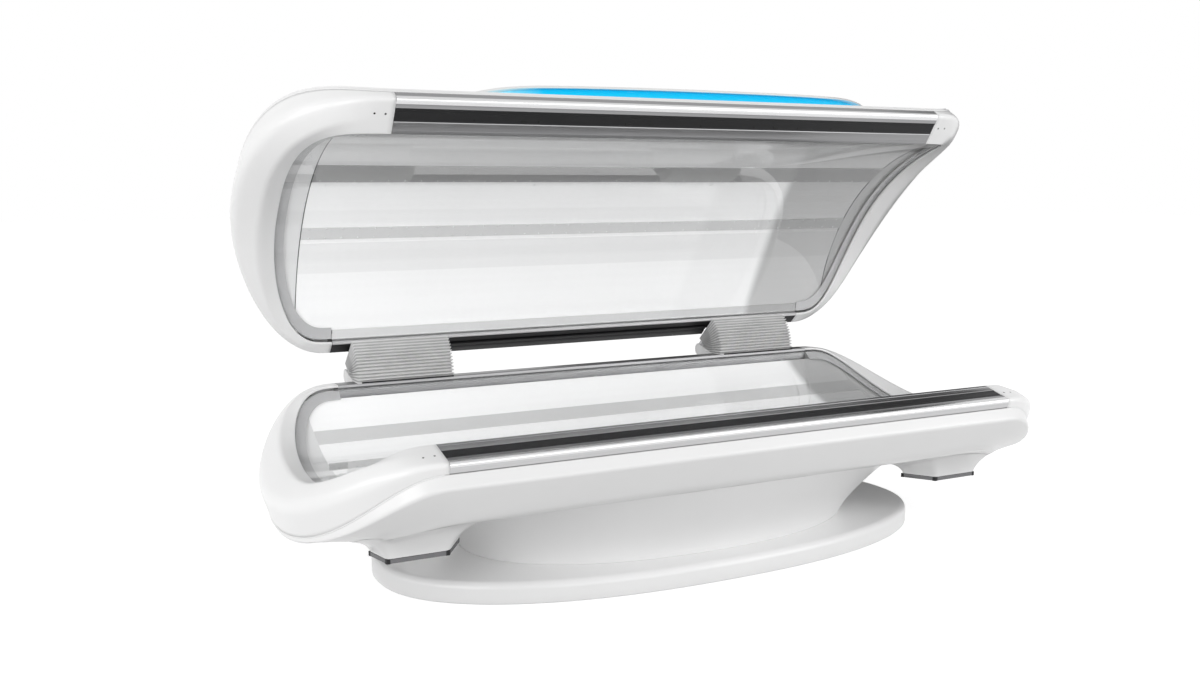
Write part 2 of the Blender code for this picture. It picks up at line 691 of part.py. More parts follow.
def box_between(name, low, high, half=BED, cutter=False, material=None):
    middle = [(a + b) / 2 for a, b in zip(low, high)]
    mesh = bpy.data.meshes.new(name)
    shape = bmesh.new()
    bmesh.ops.create_cube(shape, size=1.0)
    bmesh.ops.scale(shape, vec=[b - a for a, b in zip(low, high)], verts=shape.verts)
    bmesh.ops.translate(shape, vec=middle, verts=shape.verts)
    if half == CANOPY:
        bmesh.ops.translate(shape, vec=-HINGE, verts=shape.verts)
    shape.to_mesh(mesh)
    shape.free()
    return add_object(name, mesh, half, material, cutter)


def cylinder(name, radius, length, centre, axis, half=BED, cutter=False, material=None, sides=24):
    """A cylinder along X or Y, given by its closed position."""
    mesh = bpy.data.meshes.new(name)
    shape = bmesh.new()
    bmesh.ops.create_cone(shape, cap_ends=True, segments=sides, radius1=radius, radius2=radius, depth=length)
    turn = Matrix.Rotation(math.pi / 2, 3, "Y" if axis == "X" else "X")
    bmesh.ops.rotate(shape, matrix=turn, verts=shape.verts)
    origin = Vector(centre) - HINGE if half == CANOPY else Vector(centre)
    bmesh.ops.translate(shape, vec=origin, verts=shape.verts)
    shape.to_mesh(mesh)
    shape.free()
    return add_object(name, mesh, half, material, cutter)


def hinge(label, centre, material, pin_material):
    """A butt hinge behind the back rails: a leaf on each half, with turned knuckles on one pin."""
    rail_back = TUNNEL_CENTRE + CHORD_HALF + BACK_RAIL_WIDTH + SEAT
    axis = (HINGE_BACK, PARTING_HEIGHT - HINGE_HEIGHT)
    top = BACK_RAIL_DEPTH
    low = top + LEAF_THICKNESS
    meet_low = math.asin((low - axis[1]) / BARREL_RADIUS)
    meet_top = math.asin((top - axis[1]) / BARREL_RADIUS)
    barrel = arc(axis, BARREL_RADIUS, math.pi - meet_low, -math.pi - meet_top, 14)
    outline = [(rail_back, low)] + barrel + [(rail_back, top)]
    bed_leaf = add_object(f"hinge_leaf_bed_{label}",
                          bar("leaf", outline, LEAF_WIDTH / 2, BED, centre), BED, material)
    # In the closed position the canopy's leaf lies above the axis, so its barrel hangs on a web.
    web = 0.86 * BARREL_RADIUS
    lower = -axis[1]
    meet_web = math.asin(math.sqrt(BARREL_RADIUS ** 2 - web ** 2) / BARREL_RADIUS)
    barrel = arc((HINGE_BACK, lower), BARREL_RADIUS, 0.0, -math.pi - meet_web, 14)
    outline = ([(rail_back, top), (HINGE_BACK - web, top)] + list(reversed(barrel)) +
               [(HINGE_BACK + BARREL_RADIUS, top), (HINGE_BACK + 0.3 * BARREL_RADIUS, low), (rail_back, low)])
    canopy_leaf = add_object(f"hinge_leaf_canopy_{label}",
                             bar("leaf", outline, LEAF_WIDTH / 2, CANOPY, centre), CANOPY, material)
    reach = 1.1 * BARREL_RADIUS
    for index in range(KNUCKLES):
        start, stop = knuckle_span(index, centre)
        on_bed = index % 2 == 0
        leaf, half = (canopy_leaf, CANOPY) if on_bed else (bed_leaf, BED)
        ceiling = PARTING_HEIGHT + top - 3 * SEAT if on_bed else HINGE_HEIGHT + 2 * reach
        gap = box_between(f"knuckle_gap_{label}_{index}",
                          (start - KNUCKLE_GAP, HINGE_BACK - reach, HINGE_HEIGHT - 2 * reach),
                          (stop + KNUCKLE_GAP, HINGE_BACK + 2 * reach, ceiling), half, cutter=True)
        boolean(leaf, gap)
    for leaf, half in ((bed_leaf, BED), (canopy_leaf, CANOPY)):
        bore = cylinder(f"pin_bore_{label}_{'bed' if half == BED else 'canopy'}", PIN_RADIUS + PIN_CLEARANCE,
                        LEAF_WIDTH * 1.2, (centre, HINGE_BACK, HINGE_HEIGHT), "X", half, cutter=True)
        boolean(leaf, bore)
    cylinder(f"hinge_pin_{label}", PIN_RADIUS, LEAF_WIDTH, (centre, HINGE_BACK, HINGE_HEIGHT), "X",
             material=pin_material)


def ring_solid(name, half, outer, inner, low, high):
    """A frame between an outer and an inner outline of equal length, at two depths."""
    rings = [[place(half, x, y, depth) for x, y in outline] for outline, depth in
             ((outer, low), (outer, high), (inner, high), (inner, low))]
    count = len(outer)
    points = [point for ring in rings for point in ring]
    faces = loft_faces(4, count, True)
    faces += [(3 * count + i, 3 * count + (i + 1) % count, (i + 1) % count, i) for i in range(count)]
    return mesh_of(name, points, faces)


def fan(half, label, centre_x, frame_material, rotor_material):
    """A square cooling fan on the back of the middle lamp panel, with its rotor on the spider's hub."""
    centre = (centre_x, TUNNEL_CENTRE)
    low = CROWN_DEPTH + PANEL_DROP + PANEL_THICKNESS + SEAT
    high = low + FAN_DEPTH
    count = 32
    square = superellipse(FAN_SIZE, FAN_SIZE, 12.0, count, centre)
    round_bore = superellipse(FAN_BORE, FAN_BORE, 2.0, count, centre)
    frame = add_object(f"fan_frame_{label}",
                       ring_solid("fan_frame", half, square, round_bore, low, high), half, frame_material)
    spider_points = []
    arms = 4
    arm_half = FAN_SPIDER
    for arm in range(arms):
        base = 2.0 * math.pi * arm / arms + math.pi / 4
        hub_angle = math.asin(arm_half / (ROTOR_HUB / 2))
        tip_angle = math.asin(arm_half / (FAN_BORE / 2))
        tip = FAN_BORE / 2 + FAN_SPIDER / 4
        for radius, turn in ((ROTOR_HUB / 2, -hub_angle), (tip, -tip_angle),
                             (tip, tip_angle), (ROTOR_HUB / 2, hub_angle)):
            spider_points.append((centre[0] + radius * math.cos(base + turn),
                                  centre[1] + radius * math.sin(base + turn)))
    spider = solid_loft("spider", [[place(half, x, y, depth) for x, y in spider_points]
                                   for depth in (high - FAN_SPIDER, high)])
    boolean(frame, add_object(f"fan_spider_{label}", spider, half, cutter=True), "UNION")
    outline = []
    for blade in range(ROTOR_BLADES):
        base = 2.0 * math.pi * blade / ROTOR_BLADES
        pitch = 2.0 * math.pi / ROTOR_BLADES
        for radius, turn in ((ROTOR_HUB / 2, 0.0), (ROTOR_DIAMETER / 2, 0.25 * pitch),
                             (ROTOR_DIAMETER / 2, 0.70 * pitch), (ROTOR_HUB / 2, 0.55 * pitch)):
            outline.append((radius * math.cos(base + turn), radius * math.sin(base + turn)))
    top = high - FAN_SPIDER - SEAT
    middle = top - ROTOR_HEIGHT / 2
    origin = place(half, centre[0], centre[1], middle)
    rotor_mesh = solid_loft("rotor", [[(x, y, half * offset) for x, y in outline]
                                      for offset in (-ROTOR_HEIGHT / 2, ROTOR_HEIGHT / 2)])
    rotor = add_object(f"fan_rotor_{label}", rotor_mesh, half, rotor_material)
    rotor.location = origin
    return frame, rotor


def lamp_half(label, half, white, clear, lamp, satin, dark, rail_back_material):
    """Rails, strip, caps, sheet, lamp panels and ribs, which both halves share."""
    front_rail(f"{label}_front_rail", half, satin)
    inlay_strip(f"{label}_inlay_strip", half, dark)
    back_rail(f"{label}_back_rail", half, rail_back_material)
    for side, word in ((-1, "left"), (1, "right")):
        end_cap(f"{label}_end_cap_{word}", half, side, white)
    edge = 1.0 - 2.0 * SEAT / CHORD_HALF
    shares = [edge * math.sin(math.pi * (step / 20 - 0.5)) for step in range(21)]
    arc_plate(f"{label}_acrylic", half, shares, lip_reach, SHEET_DROP, SHEET_THICKNESS, clear)
    gap = PANEL_GAP / CHORD_HALF
    outermost = 1.0 - PANEL_MARGIN / CHORD_HALF
    span = (2.0 * outermost - 2.0 * gap) / 3.0
    for index in range(3):
        start = -outermost + index * (span + gap)
        arc_plate(f"{label}_lamp_panel_{index + 1}", half, even_shares(start, start + span, 6),
                  lambda share: PANEL_HALF_LENGTH, PANEL_DROP, PANEL_THICKNESS, lamp)
    for index in range(3):
        arc_plate(f"{label}_rib_{index + 1}", half, even_shares(-edge, edge, 20),
                  lambda share: RIB_THICKNESS / 2, PANEL_DROP + PANEL_THICKNESS + RIB_GAP, RIB_HEIGHT,
                  satin, (index - 1) * RIB_SPACING)


def build():
    white = make_material("gloss_white", WHITE, 0.18)
    satin = make_material("satin_aluminium", SATIN, 0.32, 1.0)
    dark = make_material("black_inlay", DARK, 0.45)
    grey = make_material("grey_bellows", PALE_GREY, 0.55)
    clear = make_material("clear_acrylic", CLEAR, 0.05, alpha=0.3)
    lamp = make_material("lamp_panel_white", WHITE, 0.4)
    steel = make_material("zinc_steel", SATIN, 0.4, 1.0)
    cyan = make_material("cyan_light", CYAN, 0.3)

    base_plate(white)
    lamp_half("bed", BED, white, clear, lamp, satin, dark, satin)
    lamp_half("canopy", CANOPY, white, clear, lamp, satin, dark, dark)

    hull = add_object("bed_hull", skin_mesh("bed_hull", BED, hull_paths()), BED, white)
    wall(hull, SKIN_WALL)
    shell = add_object("canopy_shell", skin_mesh("canopy_shell", CANOPY, shell_paths()), CANOPY, white)
    wall(shell, SKIN_WALL)
    hull_block = skin_block("hull_block", BED, hull_paths())
    shell_block = skin_block("shell_block", CANOPY, shell_paths())

    boolean(add_object("pedestal", solid_loft("pedestal", pedestal_rings()), material=white), hull_block)
    for side, word in ((-1, "left"), (1, "right")):
        for front, place_word in ((True, "front"), (False, "back")):
            label = f"{place_word}_{word}"
            leg = add_object(f"leg_{label}", solid_loft("leg", leg_rings(side, front)), material=white)
            boolean(leg, hull_block)
            foot_plate(f"foot_plate_{label}", side, front, steel)

    boolean(top_cowl(white), shell_block)
    boolean(light_band(cyan), shell_block)

    for side, word in ((-1, "left"), (1, "right")):
        hinge(word, side * BELLOWS_CENTRE, steel, steel)
        bellows(f"bellows_{word}", side * BELLOWS_CENTRE, grey)
        fan(CANOPY, f"canopy_{word}", side * FAN_SPACING, dark, dark)
        fan(BED, f"bed_{word}", side * FAN_SPACING, dark, dark)
        floor = PARTING_HEIGHT - CAP_EDGE_DEPTH - HULL_FLOOR_DROP + SKIN_WALL + SEAT
        box_between(f"driver_{word}",
                    (side * DRIVER_SPACING - DRIVER_LENGTH / 2, TUNNEL_CENTRE - DRIVER_WIDTH / 2, floor),
                    (side * DRIVER_SPACING + DRIVER_LENGTH / 2, TUNNEL_CENTRE + DRIVER_WIDTH / 2,
                     floor + DRIVER_HEIGHT), material=steel)

    pedestal_block = add_object("pedestal_block", solid_loft("pedestal_block", pedestal_rings(2 * SEAT)),
                                cutter=True)
    share = (INLET_HEIGHT - BASE_THICKNESS) / (PEDESTAL_TOP - BASE_THICKNESS)
    wall_y = (PEDESTAL_WIDTH + pedestal_flare(share)) / 2
    inlet = cylinder("mains_inlet", INLET_DIAMETER / 2, 2 * INLET_LENGTH, (0.0, wall_y, INLET_HEIGHT), "Y",
                     material=dark)
    boolean(inlet, pedestal_block)


build()
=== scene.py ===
import math

import bmesh
import bpy
from mathutils import Matrix, Vector
from mathutils.bvhtree import BVHTree


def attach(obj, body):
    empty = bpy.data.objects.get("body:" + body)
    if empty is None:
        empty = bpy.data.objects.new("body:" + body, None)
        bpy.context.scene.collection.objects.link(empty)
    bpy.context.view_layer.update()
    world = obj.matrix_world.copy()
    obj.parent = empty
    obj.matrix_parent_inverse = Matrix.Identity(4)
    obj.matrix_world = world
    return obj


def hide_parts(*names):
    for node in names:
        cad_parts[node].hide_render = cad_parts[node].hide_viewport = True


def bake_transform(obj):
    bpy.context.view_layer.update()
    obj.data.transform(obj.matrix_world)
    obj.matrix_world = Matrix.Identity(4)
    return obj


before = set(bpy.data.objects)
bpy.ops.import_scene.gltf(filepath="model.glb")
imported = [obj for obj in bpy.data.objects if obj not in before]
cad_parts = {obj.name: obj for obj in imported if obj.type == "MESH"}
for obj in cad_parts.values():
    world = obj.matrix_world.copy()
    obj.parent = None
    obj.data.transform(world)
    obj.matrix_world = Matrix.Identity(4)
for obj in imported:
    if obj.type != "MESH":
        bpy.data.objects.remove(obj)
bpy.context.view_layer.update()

# Tub of the bed: one deep-drawn white acrylic-faced moulding that everything else hangs on.
# A rolled shoulder runs under the rails and the end caps, and the belly falls away to a flat
# floor that is bolted down onto the pedestal.
parting_height = 0.464  # metres; depths count from here, down in the bed and up in the canopy
seat = 0.0003
tunnel_centre = -0.020
chord_half = 0.420
sagitta = 0.158
lip_depth = 0.0105
rail_half_length = 0.820
arc_radius = (chord_half ** 2 + sagitta ** 2) / (2.0 * sagitta)
front_rail_width = 0.0935
front_rail_height = 0.0505
front_rail_tuck = 0.0065
back_rail_width = 0.052
back_rail_height = 0.049
cap_lip_reach = 0.178
cap_band = 0.122
cap_skirt = 0.105
cap_tuck = 0.028
cap_straight = 0.012
rim_squareness = 2.08
rim_blend = 5
cap_edge_depth = lip_depth + sagitta + cap_skirt
front_bottom_depth = lip_depth + front_rail_height
back_bottom_depth = lip_depth + back_rail_height
hull_floor_drop = 0.012
hull_shoulder = 0.019
flange_width, flange_depth = 0.006, 0.014
hinge_point = Vector((0.0, 0.544, parting_height - lip_depth + seat))
open_angle = math.radians(42.9)
open_turn = Matrix.Rotation(-open_angle, 3, "X")


def placed(half, x, y, depth):
    """A point of the bed, or of the raised canopy, from its place in the closed position."""
    if half == "bed":
        return Vector((x, y, parting_height - depth))
    return hinge_point + open_turn @ (Vector((x, y, parting_height + depth)) - hinge_point)


def tunnel_depth(share):
    """Depth of the tunnel's arc, at a share of its half chord from the centre."""
    return lip_depth + math.sqrt(arc_radius ** 2 - (chord_half * share) ** 2) - (arc_radius - sagitta)


def rounded_path(corners, radii, steps=6, between=3, limit=0.48):
    """A polyline through corners, each inner one turned into an arc, with points along the straights.

    An arc takes up no more than the limit's share of the straights on both sides of it.
    """
    path = [Vector(corners[0])]

    def run_to(target):
        """Adds evenly spaced points from the path's end to a target."""
        start = path[-1].copy()
        path.extend(start.lerp(target, step / (between + 1)) for step in range(1, between + 2))

    for before, corner, after, radius in zip(corners, corners[1:], corners[2:], radii):
        corner = Vector(corner)
        towards, onward = Vector(before) - corner, Vector(after) - corner
        half_angle = towards.angle(onward) / 2.0
        reach = min(radius / math.tan(half_angle), limit * towards.length, limit * onward.length)
        towards.normalize()
        onward.normalize()
        run_to(corner + towards * reach)
        for step in range(1, steps + 1):
            share = step / steps
            start = corner + towards * reach * (1.0 - share)
            path.append(start.lerp(corner + onward * reach * share, share))
    run_to(Vector(corners[-1]))
    return path


def make_piece(name, points, faces, material, crease=38.0):
    """A smooth-shaded mesh object whose faces look outward.

    Its edges are sharp where they turn by more than the crease angle.
    """
    mesh = bpy.data.meshes.new(name)
    mesh.from_pydata(points, [], faces)
    shape = bmesh.new()
    shape.from_mesh(mesh)
    bmesh.ops.recalc_face_normals(shape, faces=shape.faces)
    shape.to_mesh(mesh)
    shape.free()
    mesh.shade_smooth()
    mesh.set_sharp_from_angle(angle=math.radians(crease))
    mesh.materials.append(material)
    piece = bpy.data.objects.new(name, mesh)
    bpy.context.scene.collection.objects.link(piece)
    return piece


def loft(name, rows, material, around=True, start_face=True, end_face=True, crease=38.0):
    """A skin through rows of points; around joins each row into a ring, and the end faces close it."""
    count = len(rows[0])
    faces = []
    for row in range(len(rows) - 1):
        for column in range(count if around else count - 1):
            after = (column + 1) % count
            faces.append((row * count + column, row * count + after,
                          (row + 1) * count + after, (row + 1) * count + column))
    if start_face:
        faces.append(tuple(range(count)))
    if end_face:
        faces.append(tuple(range((len(rows) - 1) * count, len(rows) * count)))
    return make_piece(name, [point for row in rows for point in row], faces, material, crease)


def round_end(turn, squareness):
    """Shares across and along a squarish round end, at a share of the turn from front to back."""
    angle = math.pi * (turn - 0.5)
    sine, cosine = math.sin(angle), max(math.cos(angle), 0.0)
    power = 2.0 / squareness
    return math.copysign(abs(sine) ** power, sine), cosine ** power


def edge_share(share):
    """How far the rims' lower edge has come from the rails' bottom (0) to the crown's edge (1)."""
    height = back_rail_height if share > 0.0 else front_rail_height
    blend = abs(share) ** rim_blend
    edge = tunnel_depth(share) - lip_depth + (1.0 - blend) * cap_skirt + blend * height
    return (edge - height) / (sagitta + cap_skirt - height)


def skin_rows(half, front, back, end, stations=44):
    """Rings of a skin, from its rim in to its floor, through its front, back and end profiles."""
    swell = end[0][0] - rail_half_length - cap_straight
    width = tunnel_centre - front[0][0]
    rows = []
    for (front_y, front_depth), (back_y, back_depth), (end_x, end_depth) in zip(front, back, end):
        reach = swell * (tunnel_centre - front_y) / width
        right = []
        for step in range(stations + 1):
            share, along = round_end(step / stations, rim_squareness)
            x = end_x - reach + reach * along
            side_y, side_depth = (back_y, back_depth) if share > 0.0 else (front_y, front_depth)
            y = tunnel_centre + abs(share) * (side_y - tunnel_centre)
            right.append((x, y, side_depth + (end_depth - side_depth) * edge_share(share)))
        ring = right + [(-x, y, depth) for x, y, depth in reversed(right)]
        rows.append([placed(half, *point) for point in ring])
    return rows


def rim_return(rows, half):
    """The rows with two more before them, which turn the rim in behind the face as a flange."""
    inward = Vector((0.0, 0.0, -1.0)) if half == "bed" else open_turn @ Vector((0.0, 0.0, 1.0))
    middle = sum(rows[0], Vector()) / len(rows[0])
    lip = []
    for point in rows[0]:
        across = middle - point
        across -= inward * across.dot(inward)
        lip.append(point + across.normalized() * flange_width)
    return [[point + inward * flange_depth for point in lip], lip] + rows


def surface_of(piece):
    """A search tree over a piece's faces, for laying other pieces against it."""
    mesh = piece.data
    return BVHTree.FromPolygons([v.co for v in mesh.vertices], [f.vertices for f in mesh.polygons])


def new_finish(name):
    """A new material, with its nodes, its links and its main shader."""
    material = bpy.data.materials.new(name)
    material.use_nodes = True
    nodes, links = material.node_tree.nodes, material.node_tree.links
    return material, nodes, links, nodes["Principled BSDF"]


def add_node(nodes, kind, settings=None):
    """A new shader node of a kind, with its sockets set."""
    node = nodes.new(f"ShaderNode{kind}")
    for socket, value in (settings or {}).items():
        node.inputs[socket].default_value = value
    return node


def add_tones(nodes, colour, dark, light=1.0, low=0.0, high=1.0):
    """A ramp from a darker to a lighter shade of a colour, between two places in its range."""
    tones = nodes.new("ShaderNodeValToRGB")
    for stop, place, shade in zip(tones.color_ramp.elements, (low, high), (dark, light)):
        stop.position = place
        stop.color = (*[shade * part for part in colour], 1.0)
    return tones


def join(links, *wires):
    """Joins nodes: each wire runs from an output of one node to a socket of another."""
    for source, output, target, socket in wires:
        links.new(source.outputs[output], target.inputs[socket])


def moulded_white(name, colour, roughness, peel):
    """Gloss moulded plastic: a faint cloudiness in its colour, uneven polish and a fine orange peel."""
    material, nodes, links, shader = new_finish(name)
    place = add_node(nodes, "TexCoord")
    cloud = add_node(nodes, "TexNoise", {"Scale": 2.3, "Detail": 3.0})
    tint = add_tones(nodes, colour, 0.975, 1.0, 0.35, 0.65)
    polish = add_node(nodes, "TexNoise", {"Scale": 38.0, "Detail": 4.0})
    polish_range = add_node(nodes, "MapRange", {"To Min": roughness - 0.05, "To Max": roughness + 0.05})
    skin = add_node(nodes, "TexNoise", {"Scale": 260.0})
    bump = add_node(nodes, "Bump", {"Strength": peel, "Distance": 0.0008})
    join(links, *((place, "Object", texture, "Vector") for texture in (cloud, polish, skin)),
         (cloud, "Fac", tint, "Fac"), (tint, "Color", shader, "Base Color"),
         (polish, "Fac", polish_range, "Value"), (polish_range, "Result", shader, "Roughness"),
         (skin, "Fac", bump, "Height"), (bump, "Normal", shader, "Normal"))
    shader.inputs["Coat Weight"].default_value = 0.35
    shader.inputs["Coat Roughness"].default_value = 0.14
    return material


tub_white = moulded_white("tub_white", (0.85, 0.85, 0.85), 0.33, 0.012)
rim_front_y = tunnel_centre - chord_half - front_rail_width + front_rail_tuck
rim_back_y = tunnel_centre + chord_half + back_rail_width
rim_end_x = rail_half_length + cap_lip_reach + cap_band - cap_tuck
hull_floor = cap_edge_depth + hull_floor_drop
hull_fall = hull_floor - front_bottom_depth
hull_radii = [0.65 * hull_shoulder, 0.24 * chord_half, 0.70 * chord_half]
hull_front = rounded_path([(rim_front_y, front_bottom_depth + seat),
                           (rim_front_y - hull_shoulder, front_bottom_depth + 0.13 * hull_fall),
                           (rim_front_y + 0.12 * chord_half, front_bottom_depth + 0.58 * hull_fall),
                           (rim_front_y + 0.55 * chord_half, front_bottom_depth + 0.83 * hull_fall),
                           (tunnel_centre - 0.31 * chord_half, hull_floor)], hull_radii)
hull_back = rounded_path([(rim_back_y, back_bottom_depth + seat),
                          (rim_back_y + hull_shoulder, front_bottom_depth + 0.13 * hull_fall),
                          (rim_back_y - 0.05 * chord_half, front_bottom_depth + 0.58 * hull_fall),
                          (rim_back_y - 0.38 * chord_half, front_bottom_depth + 0.83 * hull_fall),
                          (tunnel_centre + 0.31 * chord_half, hull_floor)], hull_radii)
rim_edge = cap_edge_depth + seat
hull_end = rounded_path([(rim_end_x, rim_edge), (rim_end_x, (rim_edge + hull_floor) / 2),
                         (rim_end_x - 0.22 * chord_half, hull_floor - 0.08 * hull_floor_drop),
                         (rim_end_x - 0.57 * chord_half, hull_floor),
                         (0.51 * rail_half_length, hull_floor)], hull_radii)
hull_rows = rim_return(skin_rows("bed", hull_front, hull_back, hull_end), "bed")
tub = loft("tub", hull_rows, tub_white, start_face=False, crease=50.0)
if tub.data.polygons[-1].normal.z > 0.0:
    tub.data.flip_normals()
tub_tree = surface_of(tub)
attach(tub, "bed")
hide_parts("bed_hull")

# Leg stubs: four hollow white mouldings glued under the corners of the tub. They rest on nothing
# while the bed stands on its plate, and their walls run out into the belly with a wide fillet.
leg_centre_x = rail_half_length + 0.009
leg_front, leg_back = -0.329, 0.285
leg_width, leg_length = 0.152, 0.085
outer_splay, inner_splay = 0.019, 0.056
leg_draft = 0.16
leg_corner = 0.010
leg_columns = 96
wall_steps, fillet_steps = 4, 10
wall_start, wall_gap = 0.02, 0.0008
leg_fillet = 0.060
fillet_per_wall = 1.35
fillet_fall, fillet_fall_limit = 1.25, 0.96
fillet_softness = 0.42
fillet_steepness = 2.2
fillet_shrink = 0.8
glue_gap, top_gap = 0.0006, 0.0012
stub_top_shares = (0.8, 0.55, 0.25)
foot_clearance, foot_thickness = 0.156, 0.012
both_sides = ((-1, "left"), (1, "right"))
leg_ends = ((True, "front"), (False, "back"))


def oval(length, width, squareness, count, centre=(0.0, 0.0)):
    """Points round a superellipse."""
    points = []
    for step in range(count):
        angle = 2.0 * math.pi * step / count
        cosine, sine = math.cos(angle), math.sin(angle)
        points.append((centre[0] + math.copysign(abs(cosine) ** (2.0 / squareness), cosine) * length / 2.0,
                       centre[1] + math.copysign(abs(sine) ** (2.0 / squareness), sine) * width / 2.0))
    return points


def rounded_outline(corners, radius, steps=4):
    """A closed outline with each corner rounded."""
    outline = []
    count = len(corners)
    for index in range(count):
        corner = Vector(corners[index])
        towards = (Vector(corners[index - 1]) - corner).normalized()
        onward = (Vector(corners[(index + 1) % count]) - corner).normalized()
        for step in range(steps + 1):
            share = step / steps
            start = corner + towards * radius * (1.0 - share)
            outline.append(tuple(start.lerp(corner + onward * radius * share, share)))
    return outline


def along_path(path, share):
    """The point at a share of a path's length."""
    lengths = [0.0]
    for first, second in zip(path, path[1:]):
        lengths.append(lengths[-1] + (second - first).length)
    target = share * lengths[-1]
    for index in range(len(path) - 1):
        if target <= lengths[index + 1]:
            span = lengths[index + 1] - lengths[index]
            return path[index].lerp(path[index + 1], (target - lengths[index]) / span if span else 0.0)
    return path[-1]


def foot_corners(side, front):
    """Corners of a foot plate, which widens inward from the bed's edge, more so towards its middle."""
    edge, inward = (leg_front, 1.0) if front else (leg_back, -1.0)
    outer_x, inner_x = leg_centre_x + leg_width / 2, leg_centre_x - leg_width / 2
    return [Vector((side * inner_x, edge)), Vector((side * outer_x, edge)),
            Vector((side * (outer_x + outer_splay), edge + inward * leg_length)),
            Vector((side * (inner_x - inner_splay), edge + inward * leg_length))]


def under_tub(x, y, gap=glue_gap):
    """The point just below the tub over a place on the floor, or nothing where the tub isn't overhead."""
    hit = tub_tree.ray_cast(Vector((x, y, 0.0)), Vector((0.0, 0.0, 1.0)))[0]
    return None if hit is None else hit - Vector((0.0, 0.0, gap))


def fillet_rim(meet, outward, reach):
    """Where a fillet runs out on the tub, and its reach, which shrinks until that place isn't too steep."""
    while True:
        rim = under_tub(meet.x + outward.x * reach, meet.y + outward.y * reach)
        if rim is not None and (rim - meet).length <= fillet_steepness * reach:
            return rim, reach
        reach *= fillet_shrink


def stub_rows(side, front):
    """Rings of one stub: its drafted wall, the fillet out onto the tub, and its top under the tub."""
    foot = foot_clearance + foot_thickness + seat
    corners = foot_corners(side, front)
    centre = sum(corners, Vector((0.0, 0.0))) / 4
    outline = [Vector(point) for point in rounded_outline(corners, leg_corner)]
    outline.append(outline[0])
    columns = []
    for index in range(leg_columns):
        x, y = along_path(outline, index / leg_columns)
        outward = (Vector((x, y)) - centre).normalized()
        start = Vector((x, y, foot))
        wall = Vector((*(outward * leg_draft), 1.0)).normalized()
        meet = tub_tree.ray_cast(start - wall * wall_start, wall)[0] - wall * wall_gap
        height = (meet - start).length
        rim, reach = fillet_rim(meet, outward, min(leg_fillet, fillet_per_wall * height))
        fall = min(fillet_fall * reach, fillet_fall_limit * height)
        below = meet + (start - meet).normalized() * fall
        bend = meet.lerp((below + rim) / 2, fillet_softness)
        column = [start.lerp(below, step / wall_steps) for step in range(wall_steps)]
        for step in range(fillet_steps + 1):
            share = step / fillet_steps
            point = below.lerp(bend, share).lerp(bend.lerp(rim, share), share)
            ceiling = under_tub(point.x, point.y)
            if ceiling is not None and point.z > ceiling.z:
                point = ceiling
            column.append(point)
        for share in stub_top_shares:
            spot = centre + (Vector(rim[:2]) - centre) * share
            column.append(under_tub(spot.x, spot.y, top_gap))
        columns.append(column)
    return [list(row) for row in zip(*columns)]


for side, word in both_sides:
    for front, end_word in leg_ends:
        stub = loft(f"stub_{end_word}_{word}", stub_rows(side, front), tub_white, crease=60.0)
        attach(stub, "bed")
        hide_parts(f"leg_{end_word}_{word}")

# Foot plates: a flat steel plate screwed under each stub as a jacking and levelling face, wider
# towards the middle of the bed, with a black moulded block over each of its corners.
plate_corner, plate_chamfer = 0.004, 0.0012
corner_block = 0.009
block_corner, block_chamfer = 0.0008, 0.0003
block_proud, block_top_gap = 0.0003, 0.0004


def streaked_metal(name, colour, roughness, grain):
    """Drawn or extruded metal: fine die lines along X in its tone, its polish and its relief."""
    material, nodes, links, shader = new_finish(name)
    place = add_node(nodes, "TexCoord")
    stretch = add_node(nodes, "Mapping", {"Scale": (1.2, 420.0, 420.0)})
    lines = add_node(nodes, "TexNoise", {"Scale": 1.0, "Detail": 5.0})
    tone = add_tones(nodes, colour, 0.90, 1.05, 0.25, 0.75)
    polish = add_node(nodes, "MapRange", {"To Min": roughness - 0.06, "To Max": roughness + 0.06})
    bump = add_node(nodes, "Bump", {"Strength": grain, "Distance": 0.0004})
    join(links, (place, "Object", stretch, "Vector"), (stretch, "Vector", lines, "Vector"),
         (lines, "Fac", tone, "Fac"), (tone, "Color", shader, "Base Color"),
         (lines, "Fac", polish, "Value"), (polish, "Result", shader, "Roughness"),
         (lines, "Fac", bump, "Height"), (bump, "Normal", shader, "Normal"))
    shader.inputs["Metallic"].default_value = 1.0
    return material


def moulded_plastic(name, colour, roughness):
    """Matt moulding, mostly black, with a fine spark-eroded grain."""
    material, nodes, links, shader = new_finish(name)
    place = add_node(nodes, "TexCoord")
    grain = add_node(nodes, "TexNoise", {"Scale": 700.0, "Detail": 3.0})
    tone = add_tones(nodes, colour, 0.8, 1.2)
    polish = add_node(nodes, "MapRange", {"To Min": roughness - 0.08, "To Max": roughness + 0.08})
    bump = add_node(nodes, "Bump", {"Strength": 0.15, "Distance": 0.0003})
    join(links, (place, "Object", grain, "Vector"),
         (grain, "Fac", tone, "Fac"), (tone, "Color", shader, "Base Color"),
         (grain, "Fac", polish, "Value"), (polish, "Result", shader, "Roughness"),
         (grain, "Fac", bump, "Height"), (bump, "Normal", shader, "Normal"))
    shader.inputs["Specular IOR Level"].default_value = 0.25
    return material


foot_steel = streaked_metal("foot_steel", (0.16, 0.16, 0.165), 0.38, 0.05)
corner_black = moulded_plastic("corner_black", (0.02, 0.02, 0.021), 0.5)


